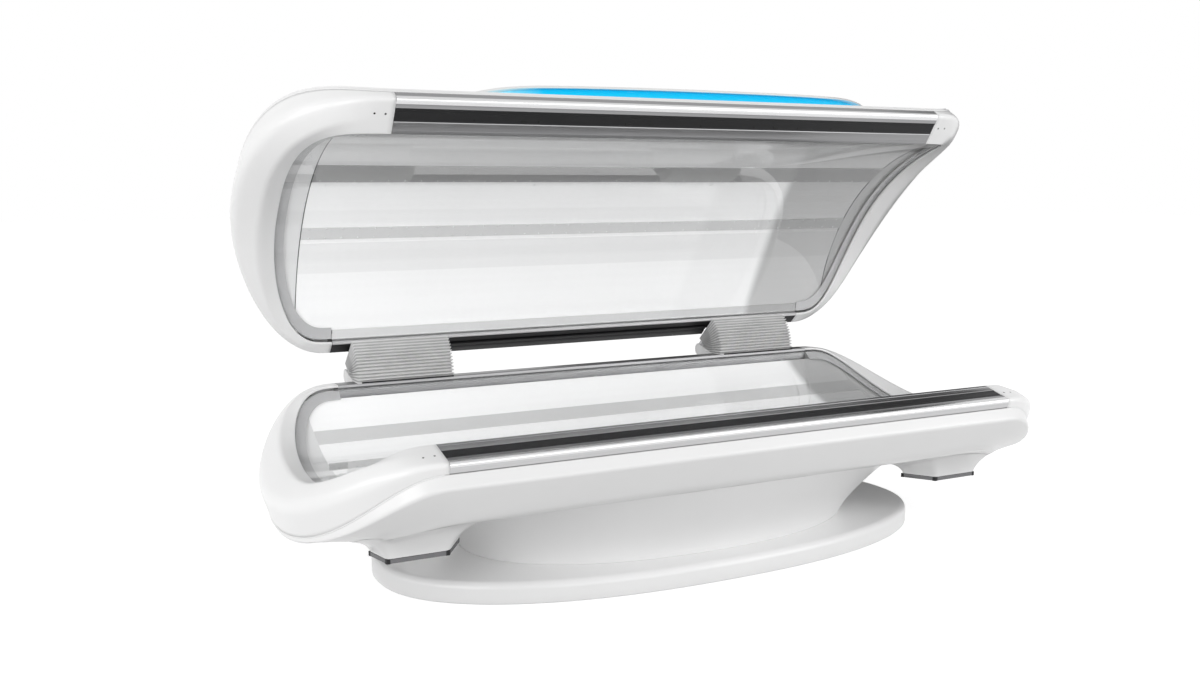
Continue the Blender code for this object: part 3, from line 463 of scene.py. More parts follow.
def slab_rows(corners, radius, low, high, chamfer):
    """Rings of a flat slab with rounded corners and chamfered edges."""
    middle = sum((Vector(corner) for corner in corners), Vector((0.0, 0.0))) / len(corners)
    rows = []
    for inset, height in ((chamfer, low), (0.0, low + chamfer), (0.0, high - chamfer), (chamfer, high)):
        shrunk = []
        for corner in corners:
            away = Vector(corner) - middle
            inward = Vector((math.copysign(inset, away.x), math.copysign(inset, away.y)))
            shrunk.append(Vector(corner) - inward)
        rows.append([(x, y, height) for x, y in rounded_outline(shrunk, radius)])
    return rows


for side, word in both_sides:
    for front, end_word in leg_ends:
        corners = foot_corners(side, front)
        low, high = foot_clearance, foot_clearance + foot_thickness
        plate = loft(f"foot_trim_{end_word}_{word}",
                     slab_rows(corners, plate_corner, low, high, plate_chamfer), foot_steel)
        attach(plate, "bed")
        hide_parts(f"foot_plate_{end_word}_{word}")
        middle = sum(corners, Vector((0.0, 0.0))) / 4
        for index, corner in enumerate(corners):
            tip = corner + (corner - middle).normalized() * block_proud
            along = (corners[(index + 1) % 4] - corner).normalized() * corner_block
            across = (corners[index - 1] - corner).normalized() * corner_block
            square = [tip, tip + along, tip + along + across, tip + across]
            rows = slab_rows(square, block_corner, low - block_proud, high - block_top_gap, block_chamfer)
            block = loft(f"foot_corner_{end_word}_{word}_{index + 1}", rows, corner_black)
            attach(block, "bed")

# Pedestal: a boat-shaped white moulding that flares from the floor plate up to the belly of the
# tub. It hides the steel stand inside, and its upper edge is scribed to the tub.
pedestal_length = 2.0 * (rail_half_length - 0.221)
pedestal_width = 0.642
pedestal_flare, flare_straight, flare_power = 0.225, 0.35, 1.6
pedestal_squareness = 2.18
base_thickness = 0.055
pedestal_foot = base_thickness + seat
pedestal_top = parting_height - 0.80 * cap_edge_depth
pedestal_columns, pedestal_levels = 160, 22
flare_steps, flare_tries = 160, 200
pedestal_top_shares = (0.8, 0.5, 0.2)
pedestal_white = moulded_white("pedestal_white", (0.87, 0.87, 0.87), 0.34, 0.012)


def pedestal_ring(share):
    """A ring of the flaring wall, at a share of the way up to its top; past 1 it runs on."""
    flare = pedestal_flare * (flare_straight * share + (1.0 - flare_straight) * share ** flare_power)
    height = pedestal_foot + (pedestal_top - pedestal_foot) * share
    outline = oval(pedestal_length + 2.0 * flare, pedestal_width + flare,
                   pedestal_squareness, pedestal_columns)
    return [Vector((x, y, height)) for x, y in outline]


def scribed_column(track):
    """Points up a line of the wall to where it meets the tub, and then inward under the tub."""
    meet = 1
    while meet < len(track) - 1:
        ceiling = under_tub(track[meet].x, track[meet].y)
        if ceiling is not None and track[meet].z >= ceiling.z:
            break
        meet += 1
    column = []
    for level in range(pedestal_levels + 1):
        spot = meet * level / pedestal_levels
        low = min(int(spot), meet - 1)
        column.append(track[low].lerp(track[low + 1], spot - low))
    for share in pedestal_top_shares:
        column.append(under_tub(track[meet].x * share, track[meet].y * share, top_gap))
    return column


flare_rings = [pedestal_ring(step / flare_steps) for step in range(flare_tries)]
pedestal_rows = [list(row) for row in zip(*(scribed_column(track) for track in zip(*flare_rings)))]
pedestal = loft("pedestal_skirt", pedestal_rows, pedestal_white, crease=50.0)
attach(pedestal, "bed")
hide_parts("pedestal")

# Floor plate: an oval white moulding over a weighted core. Its upper edge is rolled over in a wide
# soft radius, its lower edge is eased, and the pedestal is bolted down onto it from inside.
base_length = 2.0 * (rail_half_length + 0.0155)
base_width = 0.808
base_rounding, rounding_steps = 0.018, 10
base_squareness = 2.3
base_columns = 160
base_white = moulded_white("base_white", (0.90, 0.90, 0.90), 0.34, 0.012)
base_levels = [(0.0045, 0.0), (0.0022, 0.0006), (0.0006, 0.0022), (0.0, 0.0045), (0.0, 0.020)]
for step in range(rounding_steps + 1):
    angle = math.pi / 2 * step / rounding_steps
    base_levels.append((base_rounding * (1.0 - math.cos(angle)),
                        base_thickness - base_rounding * (1.0 - math.sin(angle))))
base_levels += [(inset, base_thickness) for inset in (0.024, 0.04, 0.08, 0.16, 0.26)]
base_rows = []
for inset, height in base_levels:
    outline = oval(base_length - 2.0 * inset, base_width - 2.0 * inset, base_squareness, base_columns)
    base_rows.append([(x, y, height) for x, y in outline])
base = loft("floor_plate", base_rows, base_white, crease=60.0)
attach(base, "bed")
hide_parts("base_plate")

# Drivers: two folded zinc-plated steel boxes on the tub's floor that feed the lamps.
# They keep their solids, which only show when the tub is opened.
driver_zinc = streaked_metal("driver_zinc", (0.50, 0.51, 0.52), 0.42, 0.08)


def refinish(node, material):
    """Gives a kept solid its finish."""
    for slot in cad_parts[node].material_slots:
        slot.material = material


for side, word in both_sides:
    refinish(f"driver_{word}", driver_zinc)

# Cooling fans: four square black fans behind the lamp panels, each a moulded frame with a
# seven-blade rotor on its spider's hub. They keep their solids.
fan_black = moulded_plastic("fan_black", (0.03, 0.03, 0.032), 0.42)
rotor_black = moulded_plastic("rotor_black", (0.045, 0.045, 0.048), 0.35)
for word in ("bed_left", "bed_right", "canopy_left", "canopy_right"):
    refinish(f"fan_frame_{word}", fan_black)
    refinish(f"fan_rotor_{word}", rotor_black)

# Ribs: three curved aluminium bars in each half, cut from plate, that carry the lamp panels from
# rail to rail. They keep their solids.
halves = ("bed", "canopy")
rib_metal = streaked_metal("rib_metal", (0.55, 0.55, 0.56), 0.40, 0.05)
for half in halves:
    for index in (1, 2, 3):
        refinish(f"{half}_rib_{index}", rib_metal)

# Lamp panels: three white boards in each half, side by side round the tunnel, faced with a fluted
# milky diffuser over rows of small lamps. They are screwed to the ribs from behind. Their faint glow is
# painted light, and their right ends are painted a duller white without glow, as painted shade.
panel_drop = 0.022
panel_thickness = 0.012
panel_half_length = rail_half_length + 0.102
panel_gap = 0.0126 / chord_half
panel_edge = 1.0 - 0.017 / chord_half
panel_span = (2.0 * panel_edge - 2.0 * panel_gap) / 3.0
panel_flutes, flute_steps = 9, 8
flute_depth = 0.0004
lamp_pitch = 0.030
# Where the painted shade at the right ends starts, and how far its edge fades in.
canopy_painted_shade_start = (0.622, 0.5, 0.20)
bed_painted_shade_start = (0.715, 0.0, 0.0)
painted_shade_start_fade = 0.04


def white_with_painted_light(name, colour, glow, painted_shade_start=canopy_painted_shade_start, dull=0.60):
    """Milky plastic: rows of lamps show through it as faint dots.

    Past the start of the painted shade, towards +X, it doesn't glow and its tone is duller: painted shade.
    Its glow before that is painted light. That edge is bowed: the three values are its place along the bed,
    its bow and where across the tunnel it reaches furthest.
    """
    material, nodes, links, shader = new_finish(name)
    end_place, end_bow, bow_middle = painted_shade_start
    place = add_node(nodes, "UVMap")
    place.uv_map = "metres"
    dots = add_node(nodes, "TexVoronoi", {"Scale": 1.0 / lamp_pitch, "Randomness": 0.0})
    dots.voronoi_dimensions = "2D"
    tone = add_tones(nodes, colour, 0.985, 1.0, 0.10, 0.30)
    haze = add_node(nodes, "TexNoise", {"Scale": 60.0})
    haze_range = add_node(nodes, "MapRange", {"To Min": 0.42, "To Max": 0.58})
    along = add_node(nodes, "SeparateXYZ")
    offset = add_node(nodes, "Math", {1: bow_middle})
    offset.operation = "SUBTRACT"
    square = add_node(nodes, "Math")
    square.operation = "MULTIPLY"
    bowed = add_node(nodes, "Math", {1: end_bow})
    bowed.operation = "MULTIPLY_ADD"
    past_end = add_node(nodes, "MapRange", {"From Min": end_place, "From Max": end_place + painted_shade_start_fade})
    past_end.interpolation_type = "SMOOTHSTEP"
    dull_tone = add_node(nodes, "VectorMath")
    dull_tone.operation = "SCALE"
    dull_tone.inputs["Scale"].default_value = dull
    face = add_node(nodes, "MixRGB")
    light = add_node(nodes, "MixRGB", {"Color1": (1.0, 1.0, 1.0, 1.0), "Color2": (0.0, 0.0, 0.0, 1.0)})
    join(links, *((place, "UV", node, "Vector") for node in (dots, haze, along)),
         (along, "Y", offset, 0), (offset, "Value", square, 0), (offset, "Value", square, 1),
         (square, "Value", bowed, 0), (along, "X", bowed, 2), (bowed, "Value", past_end, "Value"),
         (dots, "Distance", tone, "Fac"), (tone, "Color", dull_tone, "Vector"),
         (tone, "Color", face, "Color1"), (dull_tone, "Vector", face, "Color2"),
         (past_end, "Result", face, "Fac"), (past_end, "Result", light, "Fac"),
         (face, "Color", shader, "Base Color"), (light, "Color", shader, "Emission Color"),
         (haze, "Fac", haze_range, "Value"), (haze_range, "Result", shader, "Roughness"))
    shader.inputs["Emission Strength"].default_value = glow
    return material


# Painted light: the bed's panels glow more than the canopy's, and the canopy's front panel has no glow and
# a slightly darker tone, as painted shade.
panel_white = white_with_painted_light("panel_white", (0.84, 0.84, 0.84), 0.19, bed_painted_shade_start, 0.54)
panel_painted_weaker_glow = white_with_painted_light("panel_painted_weaker_glow", (0.84, 0.84, 0.84), 0.12)
panel_painted_shade = white_with_painted_light("panel_painted_shade", (0.80, 0.80, 0.80), 0.0, dull=0.80)
panel_finishes = {"bed": (panel_white, panel_white, panel_white),
                  "canopy": (panel_painted_shade, panel_painted_weaker_glow, panel_painted_weaker_glow)}


def arc_rows(half, shares, reach, drop, thickness, relief=None):
    """Rings across a curved plate under the tunnel's arc.

    The reach gives the places of both its ends along X, and the relief how far its face is sunk, each
    at a share of the half chord.
    """
    rows = []
    for share in shares:
        y = tunnel_centre + chord_half * share
        face = tunnel_depth(share) + drop + (relief(share) if relief else 0.0)
        back = tunnel_depth(share) + drop + thickness
        first, last = reach(share)
        rows.append([placed(half, x, y, depth) for x, depth in
                     ((first, face), (last, face), (last, back), (first, back))])
    return rows


def spread(first, last, steps):
    """Evenly spaced values from first to last."""
    return [first + (last - first) * step / steps for step in range(steps + 1)]


def panel_ends(share):
    """Both ends of a lamp panel, which are square, so the same at every share of the half chord."""
    return -panel_half_length, panel_half_length


def flute(share, first):
    """How far the face is sunk by the flutes of a panel that starts at the first share."""
    angle = 2.0 * math.pi * panel_flutes * (share - first) / panel_span
    return flute_depth * 0.5 * (1.0 - math.cos(angle))


def flat_map(piece, half):
    """A texture map in metres: along the bed, and round the tunnel's arc."""
    layer = piece.data.uv_layers.new(name="metres")
    back_turn = open_turn.inverted()
    for loop in piece.data.loops:
        point = piece.data.vertices[loop.vertex_index].co
        if half == "canopy":
            point = hinge_point + back_turn @ (point - hinge_point)
        offset = max(-1.0, min(1.0, (point.y - tunnel_centre) / arc_radius))
        layer.data[loop.index].uv = (point.x, math.asin(offset) * arc_radius)


for half in halves:
    for index, finish in enumerate(panel_finishes[half]):
        first = -panel_edge + index * (panel_span + panel_gap)
        rows = arc_rows(half, spread(first, first + panel_span, panel_flutes * flute_steps), panel_ends,
                        panel_drop, panel_thickness, lambda share: flute(share, first))
        panel = loft(f"{half}_diffuser_{index + 1}", rows, finish, crease=50.0)
        flat_map(panel, half)
        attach(panel, half)
        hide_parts(f"{half}_lamp_panel_{index + 1}")

# End reflectors: a plain plastic sheet that carries the panels' face on to each end cap, with a
# curved outer edge that follows the cap's lip. The left ones are white, and the right ones are a darker
# grey, as painted shade. In the canopy a thin black rubber cord fills the gap to the panels.
lip_squareness = 2.8
reflector_gap = {"bed": 0.0004, "canopy": 0.0022}
reflector_margin, reflector_tip = 0.006, 0.004
reflector_thickness = 0.003
reflector_steps = 48
cord_clearance, cord_proud, cord_thickness = 0.0001, 0.0008, 0.003
reflector_white = moulded_white("reflector_white", (0.78, 0.78, 0.78), 0.45, 0.01)
# Painted shade: the right reflectors are a darker grey.
reflector_painted_shade = moulded_white("reflector_painted_shade", (0.40, 0.40, 0.40), 0.45, 0.01)
cord_black = moulded_plastic("cord_black", (0.02, 0.02, 0.02), 0.60)


def lip_reach(share, tuck):
    """Half length of the tunnel between the end caps' lips, plus a tuck, at a share of the half chord."""
    swell = max(0.0, 1.0 - abs(share) ** lip_squareness) ** (1.0 / lip_squareness)
    return rail_half_length + cap_straight + (cap_lip_reach - cap_straight + tuck) * swell


def eased_spread(edge, steps):
    """Values from minus an edge to plus that edge, closer together towards both."""
    return [edge * math.sin(math.pi * (step / steps - 0.5)) for step in range(steps + 1)]


reflector_start = panel_half_length + reflector_gap["canopy"] + reflector_tip
reflector_edge, edge_step = 0.5, 0.002
while lip_reach(reflector_edge, -reflector_margin) > reflector_start:
    reflector_edge += edge_step
reflector_shares = eased_spread(reflector_edge, reflector_steps)
for half in halves:
    for side, word in both_sides:
        near = panel_half_length + reflector_gap[half]
        rows = arc_rows(half, reflector_shares,
                        lambda share: (side * near, side * lip_reach(share, -reflector_margin)),
                        panel_drop, reflector_thickness)
        reflector = loft(f"{half}_reflector_{word}", rows,
                         reflector_white if side < 0 else reflector_painted_shade, crease=50.0)
        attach(reflector, half)
        if half == "canopy":
            cord_ends = side * (panel_half_length + cord_clearance), side * (near - cord_clearance)
            rows = arc_rows(half, reflector_shares, lambda share: cord_ends,
                            panel_drop - cord_proud, cord_thickness)
            cord = loft(f"canopy_cord_{word}", rows, cord_black, crease=50.0)
            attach(cord, half)

# Joint strips: grey painted aluminium strips over the two gaps between the lamp panels of each half,
# fixed by a row of small bright rivets along both edges. The canopy's front one is wide and dark. The
# others glow faintly, painted light, and all are painted duller at their right ends, as painted shade.
strip_spans = {("bed", -1): (0.250, 0.345), ("bed", 1): (0.250, 0.345),
               ("canopy", -1): (0.175, 0.360), ("canopy", 1): (0.250, 0.345)}
strip_lift, strip_bedding = 0.0022, 0.0003
strip_steps = 10
rivet_radius, rivet_height = 0.0022, 0.0010
rivet_pitch = 0.046
rivet_inset, rivet_end_gap = 0.012, 0.02
rivet_count = int(2.0 * (panel_half_length - rivet_end_gap) / rivet_pitch) + 1
# Painted light in the strips' glow, and painted shade at their right ends.
strip_grey = white_with_painted_light("strip_grey", (0.60, 0.60, 0.60), 0.06)
strip_bed = white_with_painted_light("strip_bed", (0.60, 0.60, 0.60), 0.06, bed_painted_shade_start, 0.60)
strip_dark = white_with_painted_light("strip_dark", (0.36, 0.36, 0.36), 0.0, dull=0.80)
strip_finishes = {("bed", -1): strip_bed, ("bed", 1): strip_bed,
                  ("canopy", -1): strip_dark, ("canopy", 1): strip_grey}
rivet_bright = streaked_metal("rivet_bright", (0.72, 0.72, 0.73), 0.25, 0.0)


def dome(points, faces, centre, normal, radius, height, sides=8):
    """Adds a low round head to a list of points and faces."""
    across = normal.orthogonal().normalized()
    other = normal.cross(across)
    start = len(points)
    for share, lift in ((1.0, 0.0), (0.8, 0.65), (0.45, 0.95)):
        for step in range(sides):
            angle = 2.0 * math.pi * step / sides
            points.append(centre + (across * math.cos(angle) + other * math.sin(angle)) * radius * share
                          + normal * height * lift)
    for ring in range(2):
        for step in range(sides):
            after = (step + 1) % sides
            faces.append((start + ring * sides + step, start + ring * sides + after,
                          start + (ring + 1) * sides + after, start + (ring + 1) * sides + step))
    faces.append(tuple(start + 2 * sides + step for step in range(sides)))
    faces.append(tuple(start + step for step in reversed(range(sides))))


def into_tunnel(half, share):
    """The way that the tunnel's arc faces, at a share of its half chord from the centre."""
    slope = chord_half * share / arc_radius
    normal = Vector((0.0, -slope, math.sqrt(1.0 - slope ** 2)))
    return normal if half == "bed" else open_turn @ Vector((0.0, normal.y, -normal.z))


for half in halves:
    for sign, word in ((-1, "front"), (1, "back")):
        strip_inner, strip_outer = strip_spans[half, sign]
        shares = sorted(sign * share for share in spread(strip_inner, strip_outer, strip_steps))
        rows = arc_rows(half, shares, panel_ends, panel_drop - strip_lift, strip_lift - strip_bedding)
        cover = loft(f"{half}_joint_strip_{word}", rows, strip_finishes[half, sign], crease=50.0)
        flat_map(cover, half)
        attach(cover, half)
        points, faces = [], []
        for share in (strip_inner + rivet_inset, strip_outer - rivet_inset):
            y = tunnel_centre + sign * chord_half * share
            depth = tunnel_depth(share) + panel_drop - strip_lift
            normal = into_tunnel(half, sign * share)
            for step in range(rivet_count):
                x = -panel_half_length + rivet_end_gap + step * rivet_pitch
                dome(points, faces, placed(half, x, y, depth), normal, rivet_radius, rivet_height)
        rivets = make_piece(f"{half}_rivets_{word}", points, faces, rivet_bright, 60.0)
        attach(rivets, half)

# Cable strips: a plain pale grey painted aluminium strip along the back panel of each half, clipped
# over the joints of the lamps' cables. It glows faintly, painted light, and is painted duller at its
# right end, as painted shade.
cable_spans = {"bed": (0.585, 0.715), "canopy": (0.375, 0.600)}
cable_lift, cable_thickness = 0.0012, 0.0009
strip_pale = white_with_painted_light("strip_pale", (0.76, 0.76, 0.76), 0.12)
cable_finishes = {"bed": strip_bed, "canopy": strip_pale}
for half in halves:
    rows = arc_rows(half, spread(*cable_spans[half], strip_steps), panel_ends,
                    panel_drop - cable_lift, cable_thickness)
    cover = loft(f"{half}_cable_strip", rows, cable_finishes[half], crease=50.0)
    flat_map(cover, half)
    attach(cover, half)

# Edge strip: a pale grey painted aluminium strip that closes the gap between the canopy's back panel
# and its back rail. It is tucked in behind the rail's lip. It glows faintly, painted light, and is
# painted duller at its right end, as painted shade.
edge_overlap, edge_stop, edge_steps = 0.008, 0.9985, 8
edge_end = rail_half_length - 0.002
edge_lift, edge_thickness = 0.0060, 0.0015
edge_shares = spread(panel_edge - edge_overlap, edge_stop, edge_steps)
edge_rows = arc_rows("canopy", edge_shares, lambda share: (-edge_end, edge_end),
                     panel_drop - edge_lift, edge_thickness)
edge_cover = loft("canopy_edge_strip", edge_rows, strip_grey, crease=50.0)
flat_map(edge_cover, "canopy")
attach(edge_cover, "canopy")

# Front rails: one aluminium extrusion for each half, satin anodised. Its sloping face holds the
# black inlay in a groove between two small beads, and it ends in a round nose and a plain lower face.
# The nose is smoother and painted a lighter grey, a painted highlight; on the bed the lower face is
# painted lighter too, as painted light.
front_lip_y = tunnel_centre - chord_half
front_rail_fall = 0.0245
front_rail_nose, nose_margin = 0.014, 0.006
inlay_start, inlay_width, inlay_thickness = 0.033, 0.034, 0.003
inlay_stop = inlay_start + inlay_width
groove_ease, groove_floor = 0.0006, inlay_thickness + seat
bead_lift = 0.0004
bead_near, bead_far, bead_foot = 0.0012, 0.003, 0.004
rail_slope = front_rail_fall / front_rail_width
rail_grey = streaked_metal("rail_grey", (0.29, 0.29, 0.295), 0.36, 0.03)
# A painted highlight for the noses, and painted light for the bed's lower face.
rail_painted_highlight = streaked_metal("rail_painted_highlight", (0.68, 0.68, 0.685), 0.22, 0.02)
rail_painted_light = streaked_metal("rail_painted_light", (0.52, 0.52, 0.525), 0.36, 0.03)


def on_slope(outward, depth=0.0):
    """A point of the front rail's section, at a depth under its sloping face."""
    return outward, outward * rail_slope + depth


def extrusion(name, half, outline, lip, direction, material, half_length=rail_half_length, crease=30.0):
    """A bar extruded along X, from an outline of places outward and deeper than the tunnel's lip."""
    rows = [[placed(half, x, lip + direction * outward, lip_depth + depth) for outward, depth in outline]
            for x in (-half_length, half_length)]
    return loft(name, rows, material, crease=crease)


nose_foot = front_rail_width - front_rail_tuck
nose = rounded_path([on_slope(inlay_stop + nose_margin), (front_rail_width, front_rail_fall),
                     (nose_foot, front_rail_height)], [front_rail_nose], steps=12, between=1)
rail_outline = [(0.0, 0.0022), (0.0006, 0.0008), (0.0020, 0.0006),
                on_slope(0.010), on_slope(0.0104, 0.0009), on_slope(0.0122, 0.0009), on_slope(0.0126),
                on_slope(inlay_start - bead_foot), on_slope(inlay_start - bead_far, -bead_lift),
                on_slope(inlay_start - bead_near, -bead_lift), on_slope(inlay_start, groove_ease),
                on_slope(inlay_start, groove_floor), on_slope(inlay_stop, groove_floor),
                on_slope(inlay_stop, groove_ease), on_slope(inlay_stop + bead_near, -bead_lift),
                on_slope(inlay_stop + bead_far, -bead_lift), on_slope(inlay_stop + bead_foot)]
nose_start = len(rail_outline)
rail_outline += [tuple(point) for point in nose[1:-1]]
nose_stop = len(rail_outline) - 2
rail_outline += [(nose_foot + 0.0006, front_rail_height - 0.0026),
                 (nose_foot - 0.0030, front_rail_height - 0.0006),
                 (nose_foot - 0.0030, front_rail_height), (0.0, front_rail_height)]
lower_face_stop = len(rail_outline) - 3
for half in halves:
    rail = extrusion(f"{half}_front_extrusion", half, rail_outline, front_lip_y, -1.0, rail_grey)
    rail.data.materials.append(rail_painted_highlight)
    rail.data.materials.append(rail_painted_light)
    # The nose takes the painted highlight, and the bed's lower face the painted light.
    for index in range(nose_start, nose_stop):
        rail.data.polygons[index].material_index = 1
    if half == "bed":
        for index in range(nose_stop, lower_face_stop):
            rail.data.polygons[index].material_index = 2
    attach(rail, half)
    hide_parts(f"{half}_front_rail")

# Inlay strips: black co-extruded plastic pressed into the front rails' grooves, with a raised edge on
# both sides and one fine groove along it. A row of small black clips sits in the canopy's.
inlay_black = moulded_plastic("inlay_black", (0.013, 0.013, 0.014), 0.50)
clip_black = moulded_plastic("clip_black", (0.008, 0.008, 0.008), 0.30)
near, far = inlay_start + seat, inlay_stop - seat
inlay_floor, groove_depth = 0.0009, 0.0017
inlay_outline = [on_slope(near, inlay_thickness), on_slope(near, 0.0003), on_slope(near + 0.0006, 0.0),
                 on_slope(near + 0.0022, 0.0), on_slope(near + 0.0030, inlay_floor),
                 on_slope(far - 0.0090, inlay_floor), on_slope(far - 0.0086, groove_depth),
                 on_slope(far - 0.0062, groove_depth), on_slope(far - 0.0058, inlay_floor),
                 on_slope(far - 0.0030, inlay_floor), on_slope(far - 0.0022, 0.0),
                 on_slope(far - 0.0006, 0.0), on_slope(far, 0.0003), on_slope(far, inlay_thickness)]
for half in halves:
    inlay = extrusion(f"{half}_inlay", half, inlay_outline, front_lip_y, -1.0, inlay_black)
    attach(inlay, half)
    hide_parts(f"{half}_inlay_strip")
clip_places = [(-0.62, 0.004), (-0.49, 0.014), (-0.45, 0.003), (-0.20, 0.016), (-0.13, 0.012),
               (0.02, 0.003), (0.19, 0.003), (0.26, 0.014), (0.34, 0.014), (0.45, 0.003), (0.60, 0.003)]
clip_low, clip_high = near + 0.0050, near + 0.0105
clip_top, clip_draft = 0.0001, 0.0004
clip_points, clip_faces = [], []
for x, length in clip_places:
    start = len(clip_points)
    for level, inset in ((inlay_floor, 0.0), (clip_top, clip_draft)):
        low, high, reach = clip_low + inset, clip_high - inset, length / 2 - inset
        for along, out in ((-reach, low), (reach, low), (reach, high), (-reach, high)):
            outward, depth = on_slope(out, level)
            clip_points.append(placed("canopy", x + along, front_lip_y - outward, lip_depth + depth))
    foot, top = range(start, start + 4), range(start + 4, start + 8)
    clip_faces += [tuple(foot), tuple(top)]
    clip_faces += [(foot[i - 1], foot[i], top[i], top[i - 1]) for i in (1, 2, 3, 0)]
clips = make_piece("sensor_clips", clip_points, clip_faces, clip_black, 30.0)
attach(clips, "canopy")

# Back rails: plain aluminium extrusions along the hinge side, grey on the bed, with a bead at the lip
# and a shallow bolt groove along the outer face. The canopy's is painted near black, as painted shade
# for the shade it hangs in.
back_lip_y = tunnel_centre + chord_half
back_rail_nose = 0.010
bolt_groove = back_rail_width - 0.0025
# Painted shade: the canopy's back rail is near black.
back_rail_painted_shade = streaked_metal("back_rail_painted_shade", (0.02, 0.02, 0.021), 0.36, 0.03)
back_corner = rounded_path([(0.012, 0.0), (back_rail_width, 0.0), (back_rail_width, back_rail_height)],
                           [back_rail_nose], steps=10, between=1)
back_outline = [(0.0, 0.0022), (0.0006, 0.0006), (0.0022, 0.0), (0.0080, 0.0), (0.0086, 0.0010),
                (0.0106, 0.0010), (0.0112, 0.0)] + [tuple(point) for point in back_corner]
back_outline[-1:-1] = [(back_rail_width, 0.030), (bolt_groove, 0.031),
                       (bolt_groove, 0.037), (back_rail_width, 0.038)]
back_outline += [(0.0, back_rail_height)]
back_finishes = {"bed": (rail_grey, "satin_aluminium"), "canopy": (back_rail_painted_shade, "black_inlay")}
for half in halves:
    finish, slot_name = back_finishes[half]
    rail = extrusion(f"{half}_back_extrusion", half, back_outline, back_lip_y, 1.0, finish)
    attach(rail, half)
    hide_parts(f"{half}_back_rail")

# Retainer: a thin pale anodised strip folded over the lip of the canopy's back rail, which holds the
# edge of the sheet and shows through it.
retainer_pale = streaked_metal("retainer_pale", (0.66, 0.66, 0.665), 0.42, 0.02)
retainer_outline = [(-0.0004, 0.034), (-0.0004, 0.0020), (0.0002, 0.0002), (0.0018, -0.0010),
                    (0.0050, -0.0012), (0.0056, -0.0004), (0.0030, -0.0003), (0.0010, 0.0004),
                    (-0.0001, 0.0022), (-0.0001, 0.034)]
retainer_half_length = rail_half_length - 0.001
retainer = extrusion("sheet_retainer", "canopy", retainer_outline, back_lip_y, 1.0, retainer_pale,
                     retainer_half_length)
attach(retainer, "canopy")

# Closing seal: a black rubber profile pushed onto the outer half of the canopy's back rail, between
# the two bellows. It hangs a little below the rail and shuts the gap when the canopy is down.
seal_black = moulded_plastic("seal_black", (0.010, 0.010, 0.011), 0.45)
seal_outline = [(0.034, -0.0003), (0.034, -0.0040), (0.0352, -0.0052), (0.046, -0.0052), (0.047, -0.0040),
                (0.050, -0.0040), (0.051, -0.0056), (0.072, -0.0062), (0.0745, -0.0045), (0.0750, 0.0),
                (0.0735, 0.004), (0.0560, 0.005), (0.0525, 0.003), (0.0525, -0.0003)]
seal_half_length = 0.460
seal = extrusion("closing_seal", "canopy", seal_outline, back_lip_y, 1.0, seal_black,
                 seal_half_length, crease=40.0)
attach(seal, "canopy")

# End caps: four white gloss mouldings that turn the rails round each end of the tunnel. The band
# swells from the rails' sections to a soft crest and a round outer rim, and its lip rolls in over
# the sheet. Each is fixed by two countersunk screws into the end of the front rail.
cap_wall = 0.004
cap_crest, crest_place = 0.020, 0.40 * cap_band
cap_fall = 0.022
crown_radii = [0.004, 0.026, 0.30 * cap_band]
rail_lip_radius = 0.003
section_steps, section_between = 8, 4
cap_stations = 72
lip_return = 0.0066
cap_white = moulded_white("cap_white", (0.89, 0.89, 0.89), 0.335, 0.010)


def thicken(piece, thickness):
    """Gives a skin a wall that grows inward."""
    wall = piece.modifiers.new("wall", "SOLIDIFY")
    wall.thickness = thickness
    wall.offset = -1.0
    return piece


def corner_share(path, corner, steps=400):
    """How far along a path its nearest point to a corner is."""
    return min(spread(0.0, 1.0, steps),
               key=lambda share: (along_path(path, share) - Vector(corner)).length)


crown_rim = (cap_band, cap_fall)
crown_path = rounded_path([(0.0, lip_return), (0.0, 0.0), (crest_place, -cap_crest), crown_rim,
                           (cap_band - cap_tuck, cap_skirt)], crown_radii, section_steps, section_between)
front_nose = (front_rail_width, front_rail_fall)
front_path = rounded_path([(0.0, lip_return), (0.0, 0.0), front_nose, (nose_foot, front_rail_height)],
                          [rail_lip_radius, front_rail_nose], section_steps, section_between)
back_nose = (back_rail_width, 0.0)
back_path = rounded_path([(0.0, lip_return), (0.0, 0.0), back_nose, (back_rail_width, back_rail_height)],
                         [rail_lip_radius, back_rail_nose], section_steps, section_between)
crown_lip, crown_turn = corner_share(crown_path, (0.0, 0.0)), corner_share(crown_path, crown_rim)


def matching(path, nose_corner, share):
    """The point of a rail's section that the crown's section turns into, lip to lip and nose to rim."""
    lip, turn = corner_share(path, (0.0, 0.0)), corner_share(path, nose_corner)
    if share < crown_lip:
        return along_path(path, lip * share / crown_lip)
    if share < crown_turn:
        return along_path(path, lip + (turn - lip) * (share - crown_lip) / (crown_turn - crown_lip))
    return along_path(path, turn + (1.0 - turn) * (share - crown_turn) / (1.0 - crown_turn))


crown_lengths = [0.0]
for first, second in zip(crown_path, crown_path[1:]):
    crown_lengths.append(crown_lengths[-1] + (second - first).length)
squareness_change = 1.6
cap_section = []
for point, length in zip(crown_path, crown_lengths):
    share = length / crown_lengths[-1]
    past_lip = max(0.0, (share - crown_lip) / (1.0 - crown_lip))
    squareness = lip_squareness + (rim_squareness - lip_squareness) * min(1.0, squareness_change * past_lip)
    cap_section.append((point, matching(front_path, front_nose, share),
                        matching(back_path, back_nose, share), squareness))


def cap_point(turn, crown, front, back, squareness):
    """A point of the cap in the closed position, on its way from the front rail round to the back one."""
    share, along = round_end(turn, squareness)
    x = rail_half_length + seat + cap_straight
    x += (cap_lip_reach - cap_straight + crown[0]) * along
    side = back if share > 0.0 else front
    y = tunnel_centre + share * (chord_half + side[0])
    blend = abs(share) ** rim_blend
    return x, y, tunnel_depth(share) + (1.0 - blend) * crown[1] + blend * side[1]


